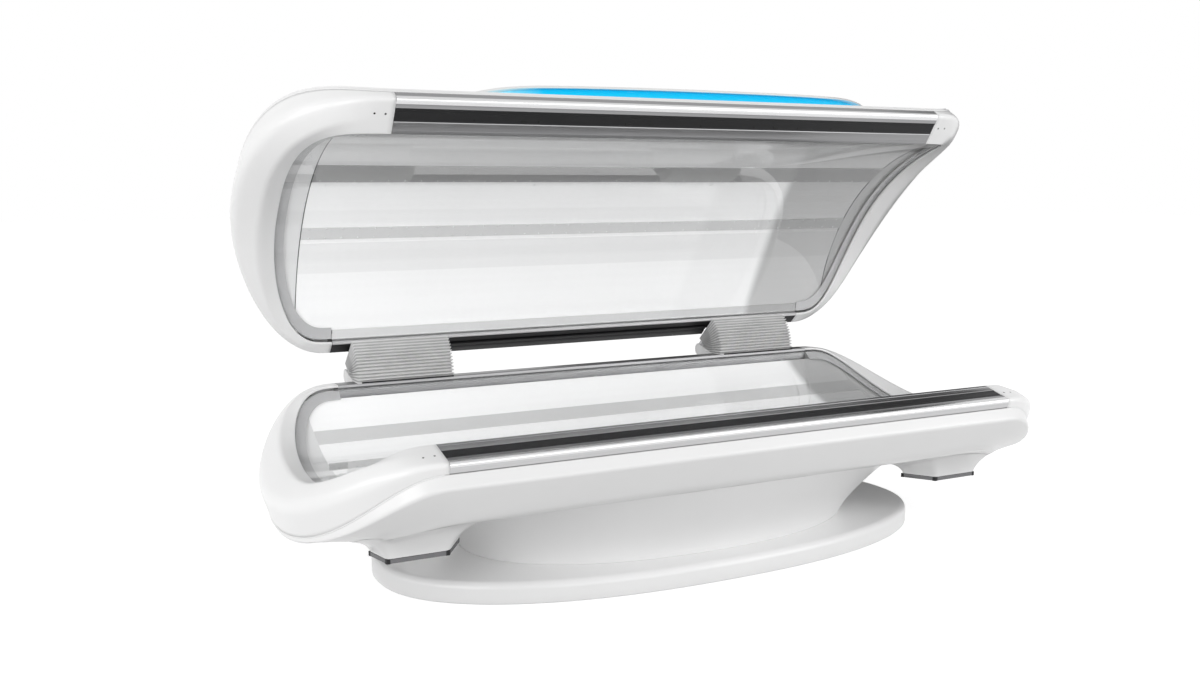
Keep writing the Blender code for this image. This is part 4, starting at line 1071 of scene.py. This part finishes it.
def cap_rows(half, side):
    """Sections of a cap from the front rail round to the back one, with a straight piece at both."""
    rows = [[cap_point(step / cap_stations, *section) for section in cap_section]
            for step in range(cap_stations + 1)]
    first, last = ([(rail_half_length + seat, y, depth) for _, y, depth in rows[end]] for end in (0, -1))
    return [[placed(half, side * x, y, depth) for x, y, depth in row] for row in [first, *rows, last]]


for half in halves:
    for side, word in both_sides:
        cap = loft(f"{half}_cap_{word}", cap_rows(half, side), cap_white,
                   around=False, start_face=False, end_face=False, crease=55.0)
        outward = Vector((side, 0.0, 0.0))
        crown_face = max(cap.data.polygons, key=lambda face: face.center.dot(outward))
        if crown_face.normal.dot(outward) < 0.0:
            cap.data.flip_normals()
        thicken(cap, cap_wall)
        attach(cap, half)
        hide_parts(f"{half}_end_cap_{word}")

# Cap screws: two small countersunk steel screws with black heads, side by side at the front end of
# each cap. They hold the cap to the end of the front rail.
screw_places, screw_outward = (0.841, 0.867), 0.052
screw_radius, screw_height, screw_sides = 0.0026, 0.0005, 12
screw_black = moulded_plastic("screw_black", (0.02, 0.02, 0.02), 0.35)
for half in halves:
    for side, word in both_sides:
        cap_surface = surface_of(bpy.data.objects[f"{half}_cap_{word}"])
        points, faces = [], []
        for x in screw_places:
            outward, depth = on_slope(screw_outward)
            near_spot = placed(half, side * x, front_lip_y - outward, lip_depth + depth)
            spot, normal, _, _ = cap_surface.find_nearest(near_spot)
            dome(points, faces, spot, normal, screw_radius, screw_height, screw_sides)
        screws = make_piece(f"{half}_cap_screws_{word}", points, faces, screw_black, 60.0)
        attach(screws, half)

# Joint beads: a thin bead of white sealant, run by hand into the seam between the tub's rim and each
# of its end caps.
sealant_radius, sealant_sides = 0.0017, 8
seam_start = rail_half_length + 0.004
flange_rings = 2
tub_rim = hull_rows[flange_rings]
sealant_turns = [2.0 * math.pi * step / sealant_sides for step in range(sealant_sides)]
for side, word in both_sides:
    run = [point for point in tub_rim if side * point.x > seam_start]
    rows = []
    for index, point in enumerate(run):
        along = run[min(index + 1, len(run) - 1)] - run[max(index - 1, 0)]
        out = along.cross(Vector((0.0, 0.0, 1.0))).normalized()
        up = out.cross(along).normalized()
        rows.append([point + (out * math.cos(turn) + up * math.sin(turn)) * sealant_radius
                     for turn in sealant_turns])
    bead = loft(f"joint_bead_{word}", rows, tub_white, crease=60.0)
    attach(bead, "bed")

# Lip bands: a grey band under each cap's lip, on which the end of the sheet beds. It shows through
# the clear sheet as a grey band that follows the lip: painted shade for the shaded inside of the cap.
lip_band_width, lip_band_tuck, lip_band_thickness = 0.027, 0.004, 0.0018
lip_band_drop = 0.0140
lip_band_rail_gap, lip_band_end_gap = 0.002, 0.0005
lip_band_grey = moulded_plastic("lip_band_grey", (0.46, 0.46, 0.465), 0.62)
lip_band_section = ((-lip_band_tuck, 0.0), (lip_band_width, 0.0),
                  (lip_band_width, lip_band_thickness), (-lip_band_tuck, lip_band_thickness))


def lip_band_rows(half, side):
    """Rings of the painted-shade band round a cap's lip, with one more at both ends, close to the rails."""
    rows = []
    for step in range(cap_stations + 1):
        share, swell = round_end(step / cap_stations, lip_squareness)
        ring = []
        for inset, drop in lip_band_section:
            across = share * (chord_half - max(inset, lip_band_rail_gap)) / chord_half
            x = rail_half_length + cap_straight + (cap_lip_reach - cap_straight - inset) * swell
            ring.append(placed(half, side * x, tunnel_centre + chord_half * across,
                               tunnel_depth(across) + lip_band_drop + drop))
        rows.append(ring)
    rail_end = side * (rail_half_length + lip_band_end_gap)
    first, last = ([Vector((rail_end, point.y, point.z)) for point in rows[end]] for end in (0, -1))
    return [first, *rows, last]


for half in halves:
    for side, word in both_sides:
        lip_band = loft(f"{half}_gasket_{word}", lip_band_rows(half, side), lip_band_grey)
        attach(lip_band, half)

# Clear sheets: 6 mm acrylic, drape-formed to the tunnel's arc and cut to the caps' lips. The lower
# one is what the user lies on; both lift out for cleaning.
sheet_drop = 0.0075
sheet_thickness = 0.006
sheet_tuck = 0.008
sheet_edge = 1.0 - 2.0 * seat / chord_half
sheet_steps = 72


def clear_acrylic(name):
    """Polished clear acrylic with a trace of wiping marks."""
    material, nodes, links, shader = new_finish(name)
    place = add_node(nodes, "TexCoord")
    wiping = add_node(nodes, "TexNoise", {"Scale": 5.0, "Detail": 6.0})
    wiping_range = add_node(nodes, "MapRange", {"To Min": 0.0, "To Max": 0.03})
    join(links, (place, "Object", wiping, "Vector"), (wiping, "Fac", wiping_range, "Value"),
         (wiping_range, "Result", shader, "Roughness"))
    shader.inputs["Base Color"].default_value = (0.965, 0.968, 0.97, 1.0)
    shader.inputs["IOR"].default_value = 1.49
    shader.inputs["Transmission Weight"].default_value = 1.0
    return material


def sheet_ends(share):
    """Both ends of a sheet, tucked in under the caps' lips, at a share of the half chord."""
    reach = lip_reach(share, sheet_tuck)
    return -reach, reach


sheet_clear = clear_acrylic("sheet_clear")
for half in halves:
    rows = arc_rows(half, eased_spread(sheet_edge, sheet_steps), sheet_ends, sheet_drop, sheet_thickness)
    sheet = loft(f"{half}_sheet", rows, sheet_clear, crease=50.0)
    sheet.visible_shadow = False
    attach(sheet, half)
    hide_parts(f"{half}_acrylic")

# Hinges: two zinc-plated steel butt hinges behind the back rails, a leaf with turned knuckles on each
# half and one pin. They keep their solids, and the bellows cover them.
hinge_zinc = streaked_metal("hinge_zinc", (0.40, 0.40, 0.41), 0.38, 0.06)
pin_steel = streaked_metal("pin_steel", (0.60, 0.60, 0.61), 0.22, 0.02)
for side, word in both_sides:
    refinish(f"hinge_leaf_bed_{word}", hinge_zinc)
    refinish(f"hinge_leaf_canopy_{word}", hinge_zinc)
    refinish(f"hinge_pin_{word}", pin_steel)

# Canopy shell: a thin white moulding, an upright rim all round and one low dome, clipped behind the
# canopy's rails and end caps.
shell_crown = 0.021
shell_rim = 0.007
shell_white = moulded_white("shell_white", (0.86, 0.86, 0.86), 0.33, 0.012)
shell_top = cap_edge_depth + shell_crown
shell_rise = shell_top - front_bottom_depth
shell_radii = [shell_rim, 0.48 * chord_half, 0.70 * chord_half]
shell_front = rounded_path([(rim_front_y, front_bottom_depth + seat),
                            (rim_front_y, front_bottom_depth + shell_rim),
                            (rim_front_y + 0.36 * chord_half, front_bottom_depth + 0.64 * shell_rise),
                            (rim_front_y + 0.76 * chord_half, front_bottom_depth + 0.94 * shell_rise),
                            (tunnel_centre - 0.19 * chord_half, shell_top)], shell_radii)
shell_back = rounded_path([(rim_back_y, back_bottom_depth + seat),
                           (rim_back_y + 2 * shell_rim, front_bottom_depth + 0.25 * shell_rise),
                           (rim_back_y - 0.14 * chord_half, front_bottom_depth + 0.66 * shell_rise),
                           (rim_back_y - 0.55 * chord_half, front_bottom_depth + 0.95 * shell_rise),
                           (tunnel_centre + 0.19 * chord_half, shell_top)],
                          [0.12 * chord_half] + shell_radii[1:])
shell_end = rounded_path([(rim_end_x, rim_edge), (rim_end_x, rim_edge + shell_rim),
                          (rim_end_x - 0.36 * chord_half, shell_top - 0.14 * shell_crown),
                          (rim_end_x - 0.83 * chord_half, shell_top - 0.05 * shell_crown),
                          (0.37 * rail_half_length, shell_top)], shell_radii)
shell_rows = rim_return(skin_rows("canopy", shell_front, shell_back, shell_end), "canopy")
shell = loft("shell", shell_rows, shell_white, start_face=False, crease=50.0)
if shell.data.polygons[-1].normal.z < 0.0:
    shell.data.flip_normals()
shell_tree = surface_of(shell)
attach(shell, "canopy")
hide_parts("canopy_shell")

# Top cowl: a low white hood screwed on the canopy's crown. A thin brim overhangs its wall all round,
# and its top is gently domed.
cowl_length, cowl_width = 1.52, 0.60
cowl_middle = (0.145, -0.150)
cowl_squareness = 2.4
cowl_rise, cowl_brim, cowl_overhang = 0.056, 0.010, 0.014
cowl_bedding = 0.0006
band_thickness = 0.008
cowl_core = 2.0 * (cowl_overhang + band_thickness)
cowl_points = 144
cowl_white = moulded_white("cowl_white", (0.86, 0.86, 0.86), 0.33, 0.012)


def profile_depth(path, y):
    """Depth of the shell's front or back profile over a place across the tunnel."""
    ordered = sorted((tuple(point) for point in path))
    for (y0, d0), (y1, d1) in zip(ordered, ordered[1:]):
        if y0 <= y <= y1 and y1 > y0:
            return d0 + (d1 - d0) * (y - y0) / (y1 - y0)
    return ordered[-1][1] if y > ordered[-1][0] else ordered[0][1]


def crown_depth_at(y):
    """Depth of the shell's middle section over a place across the tunnel."""
    if y < shell_front[-1][0]:
        return profile_depth(shell_front, y)
    if y > shell_back[-1][0]:
        return profile_depth(shell_back, y)
    return shell_front[-1][1]


def on_shell(x, y, clear_of_shell=0.2):
    """The point just over the canopy's shell at a place given in the closed position."""
    up = open_turn @ Vector((0.0, 0.0, 1.0))
    start = placed("canopy", x, y, shell_top + clear_of_shell)
    return shell_tree.ray_cast(start, -up)[0] + up * cowl_bedding


cowl_rows = []
for shrink in (0.25, 0.55, 0.85, 1.0):
    outline = oval((cowl_length - cowl_core) * shrink, (cowl_width - cowl_core) * shrink, cowl_squareness,
                   cowl_points, cowl_middle)
    cowl_rows.append([on_shell(x, y) for x, y in outline])
cowl_levels = [(cowl_core, cowl_rise - cowl_brim), (0.004, cowl_rise - cowl_brim),
               (0.0010, cowl_rise - 0.92 * cowl_brim), (0.0, cowl_rise - 0.75 * cowl_brim),
               (0.0, cowl_rise - 0.45 * cowl_brim), (0.0012, cowl_rise - 0.22 * cowl_brim),
               (0.0040, cowl_rise - 0.06 * cowl_brim), (0.0090, cowl_rise),
               (0.05 * cowl_width, 1.020 * cowl_rise), (0.12 * cowl_width, 1.045 * cowl_rise),
               (0.23 * cowl_width, 1.07 * cowl_rise), (0.40 * cowl_width, 1.095 * cowl_rise),
               (0.57 * cowl_width, 1.11 * cowl_rise), (0.80 * cowl_width, 1.115 * cowl_rise)]
for inset, rise in cowl_levels:
    outline = oval(cowl_length - inset, cowl_width - inset, cowl_squareness, cowl_points, cowl_middle)
    cowl_rows.append([placed("canopy", x, y, crown_depth_at(y) + rise) for x, y in outline])
cowl = loft("cowl", cowl_rows, cowl_white, crease=50.0)
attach(cowl, "canopy")
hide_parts("top_cowl")

# Light band: a lit strip of cyan acrylic let in under the front of the cowl's brim, edge-lit from
# inside, so that it pales towards its two ends.
band_steps, band_margin = 120, 2
band_swell = 0.003
band_top = cowl_rise - cowl_brim - 4 * seat
band_tones = ((0.10, (0.35, 0.80, 0.93)), (0.18, (0.0, 0.52, 0.83)), (0.97, (0.0, 0.50, 0.82)))
band_left_tone, band_right_tone = (0.80, 0.93, 0.97), (0.10, 0.62, 0.86)


def lit_cyan(name):
    """Cyan acrylic lit from inside, with paler ends along X."""
    material, nodes, links, shader = new_finish(name)
    place = add_node(nodes, "TexCoord")
    split = add_node(nodes, "SeparateXYZ")
    ends = add_node(nodes, "MapRange", {"From Min": cowl_middle[0] - cowl_length / 2,
                                        "From Max": cowl_middle[0] + cowl_length / 2})
    fade = add_node(nodes, "ValToRGB")
    stops = fade.color_ramp.elements
    stops[0].color = (*band_left_tone, 1.0)
    stops[1].color = (*band_right_tone, 1.0)
    for position, colour in band_tones:
        stops.new(position).color = (*colour, 1.0)
    join(links, (place, "Object", split, "Vector"), (split, "X", ends, "Value"),
         (ends, "Result", fade, "Fac"), (fade, "Color", shader, "Base Color"),
         (fade, "Color", shader, "Emission Color"))
    shader.inputs["Emission Strength"].default_value = 0.30
    shader.inputs["Roughness"].default_value = 0.25
    return material


def band_place(step, inset):
    """A place on the front of the cowl's outline, set in from it, at a step from left to right."""
    angle = math.pi + math.pi * step / band_steps
    power = 2.0 / cowl_squareness
    cosine, sine = math.cos(angle), math.sin(angle)
    return (cowl_middle[0] + math.copysign(abs(cosine) ** power, cosine) * (cowl_length - inset) / 2.0,
            cowl_middle[1] - abs(sine) ** power * (cowl_width - inset) / 2.0)


band_cyan = lit_cyan("band_cyan")
band_rows = []
for step in range(band_margin, band_steps - band_margin + 1):
    outer, inner = band_place(step, 2.0 * cowl_overhang), band_place(step, cowl_core - 2.0 * seat)
    swell = band_place(step, 2.0 * cowl_overhang - band_swell)
    foot, heel = on_shell(*outer), on_shell(*inner)
    head = placed("canopy", *outer, crown_depth_at(outer[1]) + band_top)
    back = placed("canopy", *inner, crown_depth_at(inner[1]) + band_top)
    belly = placed("canopy", *swell, crown_depth_at(swell[1]) + 0.5 * band_top)
    band_rows.append([heel, foot, foot.lerp(belly, 0.75), belly.lerp(head, 0.25), head, back])
band = loft("light_strip", band_rows, band_cyan, crease=60.0)
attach(band, "canopy")
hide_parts("light_band")

# Bellows: two grey rubber accordion covers over the hinges, moulded in one piece each and clipped to
# the back rails. Their folds fan out about the hinge, set in the open position. The roots of the
# folds are painted a darker grey, as painted shade.
bellows_centre = rail_half_length - 0.203
bellows_width = 0.295
bellows_front, bellows_back = 0.149, 0.034
bellows_lift = 2.0 * lip_depth - 2.0 * seat
side_parts = 4
bellows_folds, fold_steps = 13, 2
fold_depth, fold_sharpness = 0.008, 1.2
sleeve_corner, corner_ease = 0.016, 0.002
sleeve_depth = fold_depth + 0.003


def grey_rubber(name, colour):
    """Matt grey rubber with a dusting of bloom and a fine moulded grain."""
    material, nodes, links, shader = new_finish(name)
    place = add_node(nodes, "TexCoord")
    bloom = add_node(nodes, "TexNoise", {"Scale": 22.0, "Detail": 5.0})
    tone = add_tones(nodes, colour, 0.92, 1.0, 0.3, 0.7)
    grain = add_node(nodes, "TexNoise", {"Scale": 900.0})
    bump = add_node(nodes, "Bump", {"Strength": 0.04, "Distance": 0.0003})
    join(links, *((place, "Object", texture, "Vector") for texture in (bloom, grain)),
         (bloom, "Fac", tone, "Fac"), (tone, "Color", shader, "Base Color"),
         (grain, "Fac", bump, "Height"), (bump, "Normal", shader, "Normal"))
    shader.inputs["Roughness"].default_value = 0.58
    return material


bellows_grey = grey_rubber("bellows_grey", (0.84, 0.84, 0.84))
# Painted shade for the roots of the folds.
root_painted_shade = grey_rubber("root_painted_shade", (0.58, 0.58, 0.58))


def fold_point(share, x, radius):
    """A point at a share of the way from the bed's end of the bellows to the canopy's."""
    turn = Matrix.Rotation(-open_angle * share, 3, "X")
    return hinge_point + turn @ Vector((0.0, -radius, bellows_lift * share)) + Vector((x, 0.0, 0.0))


def fold_levels():
    """Shares up the bellows and how deep the fold is there, from a crest at the foot to one at the head."""
    creases = 2 * bellows_folds
    levels = []
    for step in range(creases * fold_steps + 1):
        share = step / (creases * fold_steps)
        phase = (share * creases) % 2.0
        wave = phase if phase < 1.0 else 2.0 - phase
        levels.append((share, fold_depth * wave ** fold_sharpness))
    return levels


def sleeve_walls(centre):
    """Rings of each wall of a sleeve, foot to head: the front, the back, and each side in parts."""
    first, last = centre - bellows_width / 2, centre + bellows_width / 2
    deep_left, deep_right = first + sleeve_depth, last - sleeve_depth
    walls = {}
    for share, depth in fold_levels():
        rings = {}
        left, right = first + depth, last - depth
        near, far = bellows_front - depth, bellows_back + depth
        for wall, edge, crest, inward in (("front", near, bellows_front, -1.0),
                                          ("back", far, bellows_back, 1.0)):
            deep, turn, ease = (crest + inward * sleeve_depth, edge + inward * sleeve_corner,
                                edge + inward * corner_ease)
            rings[wall] = ((left, turn), (left, ease), (left + corner_ease, edge),
                           (right - corner_ease, edge), (right, ease), (right, turn),
                           (deep_right, turn), (deep_right, deep), (deep_left, deep), (deep_left, turn))
        cuts = spread(near - sleeve_corner, far + sleeve_corner, side_parts)
        for wall, outer, deep in (("left", left, deep_left), ("right", right, deep_right)):
            for part, (start, stop) in enumerate(zip(cuts, cuts[1:]), 1):
                rings[f"{wall}_{part}"] = ((outer, start), (outer, stop), (deep, stop), (deep, start))
        for wall, ring in rings.items():
            walls.setdefault(wall, []).append([fold_point(share, *spot) for spot in ring])
    return walls


def wall_radius(wall):
    """How far the middle of a sleeve's wall is from the hinge's axis."""
    if wall == "front":
        return bellows_front
    if wall == "back":
        return bellows_back
    inset = (int(wall[-1]) - 0.5) / side_parts
    return bellows_front - sleeve_corner + (bellows_back - bellows_front + 2.0 * sleeve_corner) * inset


def paint_root_shade(sleeve, rows):
    """Gives the faces on both sides of each fold's root a darker grey: painted shade."""
    columns = len(rows[0])
    sleeve.data.materials.append(root_painted_shade)
    for face in sleeve.data.polygons[:(len(rows) - 1) * columns]:
        if (face.index // columns) % (2 * fold_steps) in (fold_steps - 1, fold_steps):
            face.material_index = 1


for side, word in both_sides:
    centre = side * bellows_centre
    for wall, rows in sleeve_walls(centre).items():
        sleeve = loft(f"bellows_{word}_{wall}", rows, bellows_grey, crease=50.0)
        paint_root_shade(sleeve, rows)
        radius = wall_radius(wall)
        foot, head = fold_point(0.0, centre, radius), fold_point(1.0, centre, radius)
        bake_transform(sleeve)
        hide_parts(f"bellows_{word}")

# Bellows cheeks: a grey rubber flap at the foot of each side of the sleeve, moulded with it. It stays
# on the bed and runs back past the hinge's knuckles, where its edge is round and pleated.
hub_radius, hub_tooth = 0.021, 0.0035
hub_start, hub_step, hub_points = 105.0, 10.5, 19
cheek_inset = 0.002
cheek_levels = ((0.007, 0.98), (0.0030, 1.0), (0.0012, 1.0), (0.0004, 0.98))
cheek_outline = [(-0.088, -0.012), (-0.088, -0.001), (-0.034, 0.012), (-0.012, 0.017)]
for step in range(hub_points):
    angle = math.radians(hub_start - hub_step * step)
    reach = hub_radius - (hub_tooth if step % 2 else 0.0)
    cheek_outline.append((math.cos(angle) * reach, math.sin(angle) * reach))
cheek_outline.append((-0.040, -0.014))
for side, word in both_sides:
    for end, end_word in both_sides:
        face = side * bellows_centre + end * (bellows_width / 2 - cheek_inset)
        rows = [[hinge_point + Vector((face - end * inset, across * size, up * size))
                 for across, up in cheek_outline] for inset, size in cheek_levels]
        cheek = loft(f"bellows_{word}_cheek_{end_word}", rows, bellows_grey, crease=30.0)
        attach(cheek, "bed")

# Bellows clips: a thin black moulded bar, pressed over the front hem of each bellows to hold it down
# on the bed's back rail.
bar_left_inset, bar_right_inset = 0.012, 0.004
bar_front, bar_back = 0.0034, 0.0004
bar_foot, bar_head = 0.0006, 0.0042
bar_corner, bar_chamfer = 0.0006, 0.0005
for side, word in both_sides:
    left = side * bellows_centre - bellows_width / 2 + bar_left_inset
    right = side * bellows_centre + bellows_width / 2 - bar_right_inset
    near, far = hinge_point.y - bellows_front - bar_front, hinge_point.y - bellows_front - bar_back
    corners = [Vector((left, near)), Vector((right, near)), Vector((right, far)), Vector((left, far))]
    low, high = hinge_point.z + bar_foot, hinge_point.z + bar_head
    rows = slab_rows(corners, bar_corner, low, high, bar_chamfer)
    clip = loft(f"bellows_clip_{word}", rows, seal_black)
    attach(clip, "bed")

# Mains inlet: a black moulded socket let into the back of the pedestal and held by two screws from
# inside. It keeps its solid.
inlet_black = moulded_plastic("inlet_black", (0.02, 0.02, 0.021), 0.45)
refinish("mains_inlet", inlet_black)

# Studio: a pale floor, a white sweep of light all round, and five broad soft lamps: low ones on both
# sides of the camera and in front, one at the left end and a weak high one on the right. The polished
# sheets mirror a grey card that stands off the right end.
floor_half, floor_drop = 30.0, 0.0005
floor_glow, sky_glow, sky_light = 0.76, 1.0, 0.55
card_x, card_depth, card_height = 1.32, 3.6, 1.8


def seen_directly(nodes, links):
    """A switch that is 1 for what the camera sees, straight, mirrored or through the clear sheets."""
    path = nodes.new("ShaderNodeLightPath")
    seen = path.outputs["Is Camera Ray"]
    for ray in ("Is Glossy Ray", "Is Transmission Ray"):
        either = nodes.new("ShaderNodeMath")
        either.operation = "MAXIMUM"
        links.new(seen, either.inputs[0])
        links.new(path.outputs[ray], either.inputs[1])
        seen = either.outputs["Value"]
    return seen


def pale_floor(name):
    """Matt floor that looks lit all over, and yet throws no glow of its own on the bed."""
    material, nodes, links, shader = new_finish(name)
    shader.inputs["Base Color"].default_value = (0.52, 0.52, 0.52, 1.0)
    shader.inputs["Roughness"].default_value = 0.9
    shader.inputs["Specular IOR Level"].default_value = 0.0
    glow = add_node(nodes, "Emission", {"Strength": floor_glow})
    no_glow = add_node(nodes, "Emission", {"Strength": 0.0})
    pick = add_node(nodes, "MixShader")
    both = add_node(nodes, "AddShader")
    links.new(seen_directly(nodes, links), pick.inputs["Fac"])
    join(links, (no_glow, "Emission", pick, 1), (glow, "Emission", pick, 2), (shader, "BSDF", both, 0),
         (pick, "Shader", both, 1), (both, "Shader", nodes["Material Output"], "Surface"))
    return material


def dull_card(name):
    """Dark grey card without any shine."""
    material, nodes, links, shader = new_finish(name)
    shader.inputs["Base Color"].default_value = (0.10, 0.10, 0.10, 1.0)
    shader.inputs["Specular IOR Level"].default_value = 0.0
    return material


floor = make_piece("floor", [(-floor_half, -floor_half, 0.0), (floor_half, -floor_half, 0.0),
                             (floor_half, floor_half, 0.0), (-floor_half, floor_half, 0.0)],
                   [(0, 1, 2, 3)], pale_floor("floor_white"))
floor.location.z = -floor_drop

card = make_piece("grey_card", [(card_x, 0.0, 0.0), (card_x, card_depth, 0.0),
                                (card_x, card_depth, card_height), (card_x, 0.0, card_height)],
                  [(0, 1, 2, 3)], dull_card("card_grey"))
card.visible_camera = card.visible_diffuse = card.visible_transmission = card.visible_shadow = False

world = bpy.data.worlds.new("studio_world")
bpy.context.scene.world = world
world.use_nodes = True
sky_nodes, sky_links = world.node_tree.nodes, world.node_tree.links
sky_soft = sky_nodes["Background"]
sky_soft.inputs["Color"].default_value = (1.0, 1.0, 1.0, 1.0)
sky_soft.inputs["Strength"].default_value = sky_light
sky_seen = add_node(sky_nodes, "Background", {"Color": (1.0, 1.0, 1.0, 1.0), "Strength": sky_glow})
sky_pick = add_node(sky_nodes, "MixShader")
sky_links.new(seen_directly(sky_nodes, sky_links), sky_pick.inputs["Fac"])
join(sky_links, (sky_soft, "Background", sky_pick, 1), (sky_seen, "Background", sky_pick, 2),
     (sky_pick, "Shader", sky_nodes["World Output"], "Surface"))


def soft_lamp(name, place, target, size, power):
    """A broad rectangular lamp that looks from its place at a target."""
    lamp = bpy.data.lights.new(name, "AREA")
    lamp.shape = "RECTANGLE"
    lamp.size, lamp.size_y = size
    lamp.energy = power
    holder = bpy.data.objects.new(name, lamp)
    holder.location = place
    holder.rotation_euler = (Vector(target) - Vector(place)).to_track_quat("-Z", "Y").to_euler()
    bpy.context.scene.collection.objects.link(holder)


soft_lamp("right_low_lamp", (2.8, -3.2, 1.4), (0.1, 0.0, 0.4), (2.4, 2.0), 34.0)
soft_lamp("left_low_lamp", (-3.6, -2.4, 1.4), (-0.1, 0.0, 0.4), (2.4, 2.0), 41.0)
soft_lamp("front_lamp", (0.3, -4.6, 1.1), (0.1, 0.0, 0.4), (3.2, 1.6), 29.0)
soft_lamp("left_side_lamp", (-4.2, 0.2, 1.8), (-0.1, 0.0, 0.5), (2.6, 2.4), 34.0)
soft_lamp("right_high_lamp", (2.4, -2.6, 3.0), (0.1, 0.0, 0.4), (2.6, 2.6), 14.0)

camera_data = bpy.data.cameras.new("photo_camera")
camera_data.lens = 35.0
camera_data.sensor_width = 36.0
camera = bpy.data.objects.new("photo_camera", camera_data)
camera.location = (-1.6482, -2.8577, 1.0307)
camera.rotation_euler = (math.radians(90.0 - 7.64), 0.0, math.radians(-27.09))
bpy.context.scene.collection.objects.link(camera)
bpy.context.scene.camera = camera
bpy.context.scene.view_settings.view_transform = "Standard"
